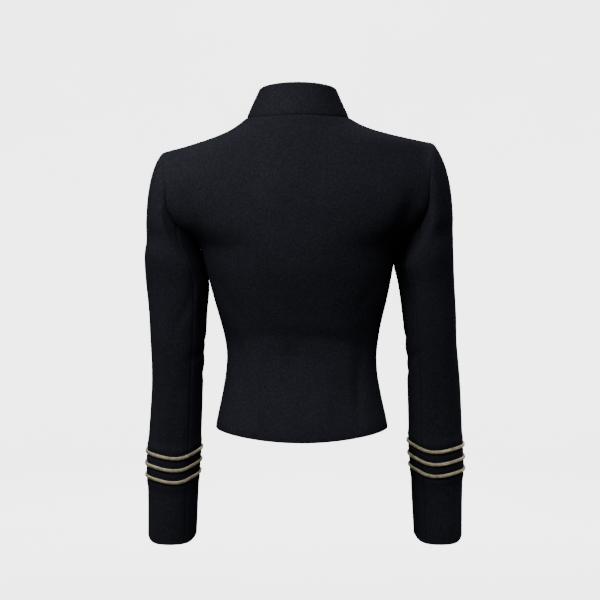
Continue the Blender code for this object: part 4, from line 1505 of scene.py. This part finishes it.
def make_floor(material):
    """A pale round floor whose rim sweeps up smoothly all round."""
    flat = SWEEP_RADIUS - SWEEP_BEND
    profile = [(flat, 0.0)]
    for turn in np.linspace(0.0, math.pi / 2, SWEEP_STEPS)[1:]:
        profile.append((flat + SWEEP_BEND * math.sin(turn), SWEEP_BEND * (1 - math.cos(turn))))
    profile.append((SWEEP_RADIUS, SWEEP_TOP))
    points = [(0.0, 0.0, FLOOR_HEIGHT)]
    for radius, high in profile:
        for turn in np.linspace(0.0, 2 * math.pi, SWEEP_SIDES, endpoint=False):
            points.append((radius * math.cos(turn), radius * math.sin(turn),
                           FLOOR_HEIGHT + high))
    floor = new_piece("pale_floor_sweep", np.array(points) / MM,
                      turned_faces(len(profile), SWEEP_SIDES))
    floor.data.materials.append(material)
    floor.visible_diffuse = False
    floor.visible_glossy = False


def aim(thing, target):
    """Turns a camera or a light towards a place."""
    way = Vector(target) - thing.location
    thing.rotation_euler = way.to_track_quat("-Z", "Y").to_euler()


def soft_light(name, place, target, width, height, power):
    data = bpy.data.lights.new(name, "AREA")
    data.shape = "RECTANGLE"
    data.size, data.size_y = width, height
    data.energy = power
    light = in_scene(name, data)
    light.location = place
    aim(light, target)


def make_studio():
    """The camera, the floor, the lights and the room."""
    lens = bpy.data.cameras.new("camera")
    lens.sensor_width = CAMERA_SENSOR
    lens.lens = CAMERA_LENS
    camera = in_scene("camera", lens)
    camera.location = CAMERA_PLACE
    aim(camera, CAMERA_TARGET)
    bpy.context.scene.camera = camera
    make_floor(floor_finish())
    for end, way in (("back", 1.0), ("front", -1.0)):
        for name, (place, target, width, height, power) in LIGHTS.items():
            place, target = ((way * x, way * y, z) for x, y, z in (place, target))
            soft_light(name.format(end), place, target, width, height, power)
    for name, (x, y) in WALLS.items():
        soft_light(name + "_wall_light",
                   (x * WALL_LIGHT_REACH, y * WALL_LIGHT_REACH, WALL_LIGHT_HEIGHT),
                   (x * SWEEP_RADIUS, y * SWEEP_RADIUS, WALL_TARGET_HEIGHT),
                   *WALL_LIGHT_SIZE, WALL_LIGHT_POWER)
    world = bpy.data.worlds.new("pale_room")
    bpy.context.scene.world = world
    world.use_nodes = True
    background = world.node_tree.nodes["Background"]
    background.inputs["Color"].default_value = (1.0, 1.0, 1.0, 1.0)
    background.inputs["Strength"].default_value = ROOM_LIGHT


# Putting it together

def settle(piece, slot, finish, *nodes):
    """Gives a piece its finish and its place in the model."""
    if not piece.data.materials:
        piece.data.materials.append(finish)
    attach(piece, "root")
    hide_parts(*nodes)


def hang(panel, slot, finish, node):
    """Settles one panel of cloth. The flat size that comes with it is not used."""
    piece, (width, length, area) = panel
    settle(piece, slot, finish, node)


def main():
    make_studio()
    wool, gold, horn, thread = wool_finish(), gold_finish(), horn_finish(), thread_finish()
    panels = [(make_back(), "back", ["jacket_collar"]),
              (make_collar(), "collar", ["jacket_back"])]
    for side in ("left", "right"):
        panels.append((make_front(side), "front_" + side, ["jacket_back"]))
        top, under = make_sleeve(side)
        panels.append((top, f"sleeve_{side}_top", ["jacket_back", "jacket_front_" + side]))
        panels.append((under, f"sleeve_{side}_under", [f"sleeve_{side}_top_cloth"]))
    for panel, node, rests_on in panels:
        hang(panel, "jacket_cloth", wool, node)
    cord = twisted_cord_tree(gold)
    for side in ("left", "right"):
        sleeve = dressed_sleeve(side)
        for number in (1, 2, 3):
            braid = make_braid(side, number, sleeve, cord)
            settle(braid, "cuff_braid", gold, f"braid_{side}_{number}")
    stitches = stitch_tree(thread)
    front = front_surface("right")
    for number in range(1, BUTTON_COUNT + 1):
        button, base, normal = make_button(number, front)
        settle(button, "front_buttons", horn, f"button_{number}")
        hole = make_buttonhole(number, base, normal, stitches)
        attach(hole, "root")


main()
